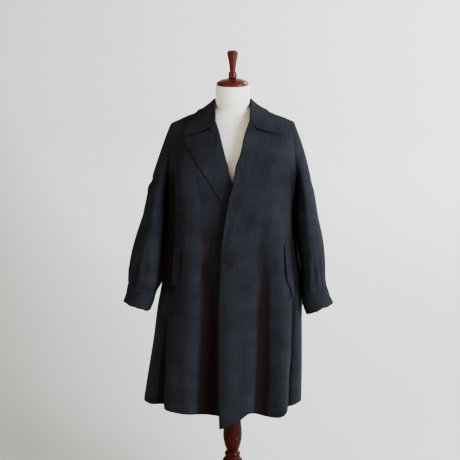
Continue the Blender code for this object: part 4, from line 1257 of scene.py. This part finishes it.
def sleeve_creases(grid, side):
    """Height of a sleeve's tucks and creases, its kink and its soft unevenness."""
    z = grid[..., 2]
    turn = np.broadcast_to(SLEEVE_TURNS, z.shape)
    total = 0.0
    for crease in SLEEVE_CREASES:
        for shift in (-360, 0, 360):
            start = ((crease.turn_low + shift) * SLEEVE_TURN_M, crease.z_low)
            end = ((crease.turn_high + shift) * SLEEVE_TURN_M, crease.z_high)
            total = total + line_depth((turn * SLEEVE_TURN_M, z), start, end, crease.width, crease.depth)
    wave = np.sin(SLEEVE_WAVE_ROUND * np.radians(turn) + SLEEVE_WAVE_LEAN * z + side)
    total = total + SLEEVE_WAVE * wave * np.sin(SLEEVE_WAVE_UP * z)
    total = total * (1 - BODY_SIDE_CALM * np.clip(-cosine(turn), 0, 1) ** 2)
    kink = LEFT_KINK if side > 0 else RIGHT_KINK
    outside = kink.depth * np.clip(cosine(turn - KINK_TURN), 0, 1) ** 2
    above, wide = z - kink.height, RIDGE_WIDTH * kink.width
    total = total - outside * bell(above, kink.width)
    total = total + RIDGE_DEPTH * outside * bell(above + RIDGE_DOWN * kink.width, wide)
    up = lengths(grid, 0)
    return total * ramp(up, SLEEVE_FADE) * ramp(up[-1:] - up, SLEEVE_FADE)


def cuff_grid(rows, side):
    """A cuff band's outside, with an uneven lower edge."""
    z = np.linspace(rows[-1].z, rows[0].z, CUFF_UP + 1)[:, None]
    grid = ring_points(rows, side, z)
    turn = np.radians(SLEEVE_TURNS)[None, :]
    low = 1 - shares(CUFF_UP)[:, None]
    first, second = CUFF_EDGE_COUNTS
    edge = np.sin(first * turn + side) + CUFF_EDGE_SECOND * np.sin(second * turn + 2)
    grid[..., 2] += CUFF_EDGE_WAVE * low * edge
    outward = grid_normals(grid, closed=True) * -side
    ripple = CUFF_RIPPLE * np.sin(CUFF_RIPPLE_COUNT * turn + CUFF_RIPPLE_LEAN * low)
    wave = CUFF_WAVE * low * np.sin(CUFF_WAVE_COUNT * turn + 1 + side) + ripple
    return grid + outward * wave[..., None]


def flap_grid(side):
    """A slanted pocket flap's outside."""
    line = LEFT_POCKET if side > 0 else RIGHT_POCKET
    down = np.linspace(1, 0, FLAP_UP + 1)[:, None]
    back = shares(FLAP_ACROSS)[None, :]
    z = line[-1].z + (line[0].z - line[-1].z) * down
    angle, level = place_of(side * read_table(line, z).x, z)
    angle, level = np.broadcast_arrays(angle + side * POCKET_WIDTH_DEG * back, level + 0 * back)
    bowed = np.sin(math.pi * down)
    gape = FLAP_GAPE * (1 - back) ** 2 * bowed ** 0.5
    grid = coat_point(angle, level, LAYER + CLOTH + FLAP_BOW * np.sin(math.pi * back) * bowed + gape)
    return grid if side > 0 else grid[:, ::-1]


def tab_grid():
    """The pointed tab's outside."""
    places, tops, bottoms = zip(*TAB)
    x = np.linspace(places[0], places[-1], TAB_ACROSS + 1)[None, :]
    top, bottom = np.interp(x, places, tops), np.interp(x, places, bottoms)
    z = bottom + (top - bottom) * shares(TAB_UP)[:, None]
    angle, level = place_of(x + 0 * z, z)
    return coat_point(angle, level, left_layer(angle, level) + TAB_LIFT)


def form_grid():
    """The dress form's surface, rows up and columns round, with shallow grooves where its cover is sewn."""
    rises = [NECK_SEAM_Z + sign * rise for rise in (0.0,) + GROOVE_RISES for sign in (-1, 1)]
    z = np.unique(np.concatenate([np.linspace(FORM[0].z, FORM[-1].z, FORM_UP + 1), rises]))[:, None]
    near = [middle + sign * turn for middle in (0.0, math.pi) for turn in GROOVE_TURNS for sign in (-1, 1)]
    turn = np.unique(np.concatenate([round_turns(FORM_ROUND), np.mod(near, 2 * math.pi)]))[None, :]
    row = read_table(FORM, z)
    depth = np.where(np.cos(turn) > 0, row.front, row.back)
    lean = RIDGE_Y * (1 - ramp(z, NECK_START))
    x = row.half * np.sin(turn)
    y = lean - depth * signed_power(np.cos(turn), row.taper)
    grid = xyz(x, y, z + 0 * x)
    sink = np.maximum(bell(x, GROOVE_WIDTH), bell(z - NECK_SEAM_Z, GROOVE_WIDTH))
    return grid - grid_normals(grid, closed=True) * (GROOVE * sink)[..., None]


def add_lathe(name, node, grid, material):
    """A closed solid from rings of points, bottom up."""
    mesh = new_mesh(name, grid.reshape(-1, 3).tolist(), capped_tube(*grid.shape[:2]))
    return add_piece(name, mesh, material, node)


def drawn_profile(profile):
    """A profile's points, with its shallow bends drawn out as curves and its arrises slightly rounded."""
    points = [np.array([row.radius, row.z]) for row in profile]
    drawn = [points[0]]
    for before, here, after in zip(points, points[1:], points[2:]):
        back, on = before - here, after - here
        back_length, on_length = np.linalg.norm(back), np.linalg.norm(on)
        straightness = float(np.dot(-back, on) / (back_length * on_length))
        bend = math.degrees(math.acos(max(-1.0, min(1.0, straightness))))
        shorter = min(back_length, on_length)
        setback = shorter / 2 if bend < SOFT_BEND else min(ARRIS, ARRIS_SHARE * shorter)
        start, end = here + back / back_length * setback, here + on / on_length * setback
        for t in np.linspace(0, 1, CURVE_STEPS):
            drawn.append(start * (1 - t) ** 2 + here * 2 * t * (1 - t) + end * t * t)
    drawn.append(points[-1])
    return np.array(drawn)


def turned_points(profile, count):
    """Rings of points from a profile turned round its axis."""
    drawn = drawn_profile(profile)
    turn = round_turns(count)[None, :]
    radius = np.maximum(drawn[:, :1], AXIS_R)
    return xyz(radius * np.cos(turn), radius * np.sin(turn), drawn[:, 1:] + 0 * turn)


def line_along(grid, side, inset, first=0.0, last=1.0):
    """Points and normals on a grid at a distance in from one side, along part of that side."""
    normals = grid_normals(grid)
    if side in ("bottom", "top"):
        grid, normals = grid.transpose(1, 0, 2), normals.transpose(1, 0, 2)
    if side in ("right", "top"):
        grid, normals = grid[:, ::-1], normals[:, ::-1]
    away = lengths(grid, 1)
    rows = range(int(first * (len(grid) - 1)), int(last * (len(grid) - 1)) + 1)
    points = np.array([points_at(inset, away[j], grid[j]) for j in rows])
    return points, unit(np.array([points_at(inset, away[j], normals[j]) for j in rows]))


def stitch_places(points, normals):
    """Centres, directions and normals of even stitches along a line, or of one on a very short line."""
    steps = np.linalg.norm(np.diff(points, axis=0), axis=1)
    along = np.concatenate([[0.0], np.cumsum(steps)])
    centres = np.arange(STITCH_PITCH, along[-1] - STITCH_PITCH / 2, STITCH_PITCH)
    if not len(centres):
        centres = along[-1:] / 2
    half = STITCH_LENGTH / 2
    direction = points_at(centres + half, along, points) - points_at(centres - half, along, points)
    return points_at(centres, along, points), unit(direction), unit(points_at(centres, along, normals))


def add_stitches(name, lines, material):
    """Rows of small raised stitches, whose ends dive into the cloth."""
    places = [stitch_places(*line) for line in lines]
    centre, direction, normal = [np.concatenate(parts) for parts in zip(*places)]
    side = unit(np.cross(direction, normal))
    rings, sides = np.meshgrid(np.arange(STITCH_RINGS), np.arange(STITCH_SIDES), indexing="ij")
    along = rings / (STITCH_RINGS - 1) - 0.5
    fat = STITCH_R * (1 - (2 * along) ** STITCH_BLUNTNESS * STITCH_TAPER)
    turn = 2 * math.pi * sides / STITCH_SIDES
    arch = np.cos(math.pi * along)
    rise = STITCH_RISE * arch - STITCH_R / 2 * (1 - arch)

    def spread(vectors, amounts):
        return vectors[:, None, None, :] * amounts[None, :, :, None]

    points = centre[:, None, None, :] + spread(direction, along * STITCH_LENGTH)
    points = points + spread(side, fat * np.cos(turn)) + spread(normal, fat * np.sin(turn) + rise)
    faces = capped_tube(STITCH_RINGS, STITCH_SIDES)
    every = [[corner + rings.size * k for corner in face] for k in range(len(centre)) for face in faces]
    mesh = new_mesh(name, points.reshape(-1, 3).tolist(), every)
    return add_piece(name, mesh, material)


def make_node(tree, kind, inputs=None, **settings):
    """A shader node with its settings, and its inputs given as values or as other nodes' outputs."""
    node = tree.nodes.new(kind)
    for key, value in settings.items():
        setattr(node, key, value)
    for key, value in (inputs or {}).items():
        if isinstance(value, bpy.types.NodeSocket):
            tree.links.new(value, node.inputs[key])
        else:
            node.inputs[key].default_value = value
    return node


def new_material(name, settings):
    """A material with its shader's plain settings."""
    material = bpy.data.materials.new(name)
    material.use_nodes = True
    for key, value in settings.items():
        material.node_tree.nodes["Principled BSDF"].inputs[key].default_value = value
    return material, material.node_tree


def finished(material, colour, height=None, distance=0.0, strength=1.0):
    """The material with its colour and its fine relief."""
    tree = material.node_tree
    shader = tree.nodes["Principled BSDF"]
    tree.links.new(colour, shader.inputs["Base Color"])
    if height:
        inputs = {"Height": height, "Distance": distance, "Strength": strength}
        bump = make_node(tree, "ShaderNodeBump", inputs)
        tree.links.new(bump.outputs["Normal"], shader.inputs["Normal"])
    return material


def object_place(tree):
    """Coordinates in metres in the model's own frame."""
    return make_node(tree, "ShaderNodeTexCoord").outputs["Object"]


def stretched(tree, source, scale):
    """Coordinates scaled by a different amount each way."""
    return make_node(tree, "ShaderNodeMapping", {"Vector": source, "Scale": scale}).outputs["Vector"]


def noise(tree, vector, scale, detail):
    inputs = {"Vector": vector, "Scale": scale, "Detail": detail}
    return make_node(tree, "ShaderNodeTexNoise", inputs).outputs["Fac"]


def bands(tree, direction, inputs):
    """Soft stripes."""
    node = make_node(tree, "ShaderNodeTexWave", inputs, wave_type="BANDS", bands_direction=direction)
    return node.outputs["Fac"]


def added(tree, first, second):
    return make_node(tree, "ShaderNodeMath", {0: first, 1: second}, operation="ADD").outputs["Value"]


def mixed(tree, share, low, high):
    """A colour between two others."""
    node = make_node(tree, "ShaderNodeMix", data_type="RGBA")
    for socket, value in (("Factor_Float", share), ("A_Color", low), ("B_Color", high)):
        target = next(item for item in node.inputs if item.identifier == socket)
        if isinstance(value, bpy.types.NodeSocket):
            tree.links.new(value, target)
        else:
            target.default_value = value
    return next(item for item in node.outputs if item.identifier == "Result_Color")


def spread_range(tree, value, low, high):
    """A value stretched so that low becomes 0 and high becomes 1."""
    inputs = {"Value": value, "From Min": low, "From Max": high}
    return make_node(tree, "ShaderNodeMapRange", inputs).outputs["Result"]


def wool_material(name, tones, twill):
    """Worn wool twill: diagonal weave, mixed yarns, a mottled nap, and shade painted into its dips and
    beside the sleeves.
    """
    settings = {"Roughness": 0.85, "Specular IOR Level": 0.09, "Specular Tint": (0.80, 0.88, 1.0, 1.0)}
    material, tree = new_material(name, settings)
    dark, light, painted_shade_tone = tones
    cloth = make_node(tree, "ShaderNodeUVMap", uv_map="cloth").outputs["UV"]
    inputs = {"Vector": cloth, "Scale": twill, "Distortion": 1.2, "Detail": 1.0, "Detail Scale": 2.0}
    weave = bands(tree, "DIAGONAL", inputs)
    yarn = noise(tree, stretched(tree, cloth, (1500.0, 420.0, 1.0)), scale=1.0, detail=3.0)
    slub = noise(tree, stretched(tree, cloth, (240.0, 28.0, 1.0)), scale=1.0, detail=2.0)
    nap = noise(tree, object_place(tree), scale=14.0, detail=4.0)
    painted_shade = make_node(tree, "ShaderNodeAttribute", attribute_name="painted_shade").outputs["Fac"]
    colour = mixed(tree, spread_range(tree, nap, low=0.32, high=0.70), dark, light)
    colour = mixed(tree, spread_range(tree, yarn, low=0.30, high=0.85), colour, light)
    colour = mixed(tree, spread_range(tree, slub, low=0.58, high=0.95), colour, light)
    # Painted shade: darker towards the shade tone in the cloth's dips and beside the sleeves
    colour = mixed(tree, spread_range(tree, painted_shade, low=0.52, high=0.95), colour, painted_shade_tone)
    return finished(material, colour, added(tree, weave, yarn), distance=0.00022, strength=0.7)


def thread_material():
    """Twisted silk thread, about as dark as the cloth."""
    material, tree = new_material("silk thread", {"Roughness": 0.55})
    twist = noise(tree, object_place(tree), scale=1800.0, detail=1.0)
    return finished(material, mixed(tree, twist, *THREAD), twist, distance=0.0001)


def jersey_material():
    """Ivory jersey: fine knitted ribs, a soft nap and a faint uneven tone."""
    material, tree = new_material("ivory jersey", {"Roughness": 0.86, "Sheen Weight": 0.15})
    place = object_place(tree)
    ribs = bands(tree, "X", {"Vector": place, "Scale": 260.0, "Distortion": 2.0, "Detail": 1.0})
    nap = noise(tree, place, scale=900.0, detail=2.0)
    tone = noise(tree, place, scale=9.0, detail=3.0)
    colour = mixed(tree, spread_range(tree, tone, low=0.35, high=0.70), *JERSEY)
    return finished(material, colour, added(tree, ribs, nap), distance=0.00012, strength=0.5)


def mahogany_material(name, depth, gloss):
    """Polished red mahogany: long grain with dark pores under a clear lacquer."""
    settings = {
        "Roughness": 0.34,
        "Specular IOR Level": 0.2 * gloss,
        "Coat Weight": 0.15 * gloss,
        "Coat Roughness": 0.16,
    }
    material, tree = new_material(name, settings)
    # depth paints the tones lighter, as lit, on the cap and finial, and darker, as shaded, on the pole and
    # base
    band_dark, band_light, cloud, pore = [(*(depth * part for part in tone), 1) for tone in MAHOGANY]
    place = object_place(tree)
    long_way = stretched(tree, place, (1.0, 0.6, 0.05))
    grain = bands(tree, "X", {"Vector": long_way, "Scale": 26.0, "Distortion": 5.0, "Detail": 3.0})
    pores = noise(tree, stretched(tree, place, (520.0, 520.0, 26.0)), scale=1.0, detail=3.0)
    cloudy = noise(tree, stretched(tree, place, (14.0, 14.0, 3.0)), scale=1.0, detail=3.0)
    colour = mixed(tree, grain, band_dark, band_light)
    colour = mixed(tree, spread_range(tree, cloudy, low=0.35, high=0.75), colour, cloud)
    colour = mixed(tree, spread_range(tree, pores, low=0.60, high=0.78), colour, pore)
    return finished(material, colour, pores, distance=0.00010, strength=0.25)


def horn_material():
    """Dark horn, cloudy and half polished."""
    material, tree = new_material("dark horn", {"Roughness": 0.42, "Specular IOR Level": 0.2})
    streaks = noise(tree, stretched(tree, object_place(tree), (160.0, 60.0, 420.0)), scale=1.0, detail=3.0)
    colour = mixed(tree, spread_range(tree, streaks, low=0.40, high=0.70), *HORN)
    return finished(material, colour, streaks, distance=0.00008, strength=0.3)


def backdrop_material():
    """Smooth pale paper with the faintest unevenness, and painted shade towards its near left."""
    material, tree = new_material("backdrop", {"Roughness": 0.92})
    place = object_place(tree)
    to_left = make_node(tree, "ShaderNodeVectorMath", {0: place, 1: PAPER_SHADE_WAY}, operation="DOT_PRODUCT")
    # Painted shade, growing towards the near left
    paper_shade = spread_range(tree, to_left.outputs["Value"], PAPER_SHADE_START, PAPER_SHADE_END)
    colour = mixed(tree, noise(tree, place, scale=1.3, detail=3.0), *PAPER)
    return finished(material, mixed(tree, paper_shade, colour, PAPER_SHADE_TONE))


def main():
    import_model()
    build_coat(thread_material(), horn_material())
    build_form()
    build_stage()
    build_lights()
    build_camera()


def build_coat(thread, horn):
    """Every cut piece of the coat with its sewing."""
    wool = wool_material("navy wool", NAVY_AND_SHADE, NAVY_TWILL)
    cuts = {cut.piece: cut for cut in CUTS}

    def cloth_piece(name, grid, slot="coat_cloth", material=wool, **options):
        cut = cuts[name]
        obj = add_piece(name, shell_mesh(name, grid, **options), material, cut.node)

    left = front_grid(LEFT_EDGE, left_layer, True, NECK_HALF, False)
    left = rolled(left, ("right", "top"), ("left", "bottom"))
    right = front_grid(RIGHT_EDGE, right_layer, False, -NECK_HALF, True)
    right = rolled(right, ("left", "top"), ("right", "bottom"))
    back = rolled(back_grid(), ("left", "right", "top"), ("bottom",))
    cloth_piece("left_front_cloth", left, shade=side_shade)
    cloth_piece("right_front_cloth", right, shade=side_shade)
    cloth_piece("back_cloth", back, shade=side_shade)
    hems = [line_along(grid, "bottom", HEM_TURN_UP) for grid in (left, right, back)]
    below_break = line_along(left, "left", EDGE_STITCH, last=BREAK_SHARE)
    add_stitches("hem_sewing", hems + [below_break], thread)
    collar = rolled(collar_grid(), (), ("right", "top", "bottom"))
    cloth_piece("collar_cloth", collar)
    add_stitches("collar_sewing", [line_along(collar, "right", LEAF_STITCH)], thread)
    for side, word, edge, outer, layer in (
        (1, "left", LEFT_EDGE, LEFT_LAPEL, left_layer),
        (-1, "right", RIGHT_EDGE, RIGHT_LAPEL, right_layer),
    ):
        gorge = collar[-1 if side > 0 else 0, -LEAF_ACROSS - 1 :]
        lapel = rolled(lapel_grid(edge, outer, layer, side < 0, gorge), (), ("left", "right", "top"))
        cloth_piece(word + "_lapel_cloth", lapel)
        free = line_along(lapel, "right" if side > 0 else "left", LEAF_STITCH, first=FREE_START)
        add_stitches(word + "_lapel_sewing", [free, line_along(lapel, "top", LEAF_STITCH)], thread)
    for side, word, sleeve_rows, cuff_rows in (
        (1, "left", LEFT_SLEEVE, LEFT_CUFF),
        (-1, "right", RIGHT_SLEEVE, RIGHT_CUFF),
    ):
        sleeve = sleeve_grid(sleeve_rows, side)
        cloth_piece(word + "_sleeve_cloth", sleeve, closed=True, flip=side > 0, shade=sleeve_shade)
        band = cuff_grid(cuff_rows, side)
        cloth_piece(word + "_cuff_cloth", band, closed=True, flip=side > 0, thickness=CUFF_CLOTH)
        band = band[:, ::-side]
        looped = np.concatenate([band, band[:, :1]], axis=1)
        rows = [line_along(looped, name, CUFF_STITCH) for name in ("bottom", "top")]
        add_stitches(word + "_cuff_sewing", rows, thread)
        flap = rolled(flap_grid(side), (), ("left", "right"))
        cloth_piece(word + "_flap_cloth", flap)
        rows = [line_along(flap, name, SMALL_STITCH) for name in ("left", "right", "top", "bottom")]
        add_stitches(word + "_flap_sewing", rows, thread)
        add_button(word + "_button", "pocket_button_" + word, horn, thread)
    tab = rolled(tab_grid(), (), ("left", "right", "top", "bottom"))
    # The tab's wool: the navy cloth painted darker and greyer, as shaded
    shaded_tab_wool = wool_material("shaded tab wool", SHADED_TAB_WOOL, TAB_TWILL)
    cloth_piece("tab_cloth", tab, slot="tab_cloth", material=shaded_tab_wool)
    rows = [line_along(tab, name, SMALL_STITCH) for name in ("right", "top", "bottom")]
    add_stitches("tab_sewing", rows, thread)


def build_form():
    """The dress form in its jersey, and the turned stand that carries it."""
    head = mahogany_material("lit head mahogany", HEAD_PAINTED_LIGHT, HEAD_GLOSS)
    stand = mahogany_material("shaded stand mahogany", STAND_PAINTED_SHADE, STAND_GLOSS)
    add_lathe("form_cover", "form_body", form_grid(), jersey_material())
    for name, node, profile, wood in (
        ("cap_wood", "neck_cap", NECK_CAP, head),
        ("finial_wood", "finial", FINIAL, head),
        ("pole_wood", "pole", POLE, stand),
        ("base_wood", "base", BASE, stand),
    ):
        add_lathe(name, node, turned_points(profile, TURN_ROUND), wood)


def add_button(name, node, horn, thread):
    """A pocket button: a dished horn disc with four holes, sewn on with two bars of thread."""
    centre = np.mean(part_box(node), axis=0)
    angle, level = place_of(centre[0], centre[2])
    outward = normal_at(angle, level)
    across = unit(np.cross([0.0, 0.0, 1.0], outward))
    frame = np.stack([across, np.cross(outward, across), outward])
    flat = turned_points(BUTTON, BUTTON_ROUND)
    for x in (-HOLE_OUT, HOLE_OUT):
        for y in (-HOLE_OUT, HOLE_OUT):
            away = np.hypot(flat[..., 0] - x, flat[..., 1] - y)
            hole = HOLE_DEPTH * np.exp(-((away / HOLE_R) ** HOLE_STEEPNESS))
            flat[..., 2] -= np.where(flat[..., 2] > 0, hole, 0.0)
    add_lathe(name + "_horn", node, centre + flat @ frame, horn)
    lines = []
    for x in (-HOLE_OUT, HOLE_OUT):
        for strand in np.linspace(-1, 1, THREAD_STRANDS) * STITCH_R:
            ends = np.array([[x + strand, way * THREAD_REACH, THREAD_Z] for way in (-1, 1)])
            lines.append((centre + ends @ frame, np.stack([outward, outward])))
    add_stitches(name + "_thread", lines, thread)


def build_stage():
    """A pale floor that sweeps up, far behind, into a pale wall."""
    turns = np.radians(np.linspace(0, 90, STAGE_STEPS))
    swept = zip(STAGE_BEND_Y + STAGE_BEND * np.sin(turns), STAGE_BEND * (1 - np.cos(turns)))
    profile = [(-STAGE_REACH, 0.0), *swept, (STAGE_BEND_Y + STAGE_BEND, STAGE_REACH)]
    points = [(x, y, z) for y, z in profile for x in (-STAGE_REACH, STAGE_REACH)]
    index = np.arange(len(points)).reshape(-1, 2)
    mesh = new_mesh("backdrop", points, grid_quads(index).tolist())
    mesh.materials.append(backdrop_material())
    new_object("backdrop", mesh)


def aim(obj, place, target):
    obj.location = place
    obj.rotation_euler = (Vector(target) - Vector(place)).to_track_quat("-Z", "Y").to_euler()


def add_light(name, place, target, size, power, colour):
    light = bpy.data.lights.new(name, "AREA")
    light.shape = "RECTANGLE"
    light.size, light.size_y = size
    light.energy = power
    light.color = colour
    aim(new_object(name, light), place, target)


def build_lights():
    """The lights, the room's glow, and how the view turns light into tones."""
    for light in LIGHTS:
        add_light(*light)
    world = bpy.data.worlds.new("soft room")
    world.use_nodes = True
    world.node_tree.nodes["Background"].inputs["Color"].default_value = ROOM_COLOUR
    world.node_tree.nodes["Background"].inputs["Strength"].default_value = ROOM_STRENGTH
    bpy.context.scene.world = world
    bpy.context.scene.view_settings.view_transform = VIEW_TRANSFORM
    bpy.context.scene.view_settings.look = VIEW_LOOK


def build_camera():
    camera = bpy.data.cameras.new("camera")
    camera.lens = LENS_MM
    camera.sensor_width = SENSOR_MM
    obj = new_object("camera", camera)
    aim(obj, CAMERA_PLACE, CAMERA_TARGET)
    bpy.context.scene.camera = obj


main()
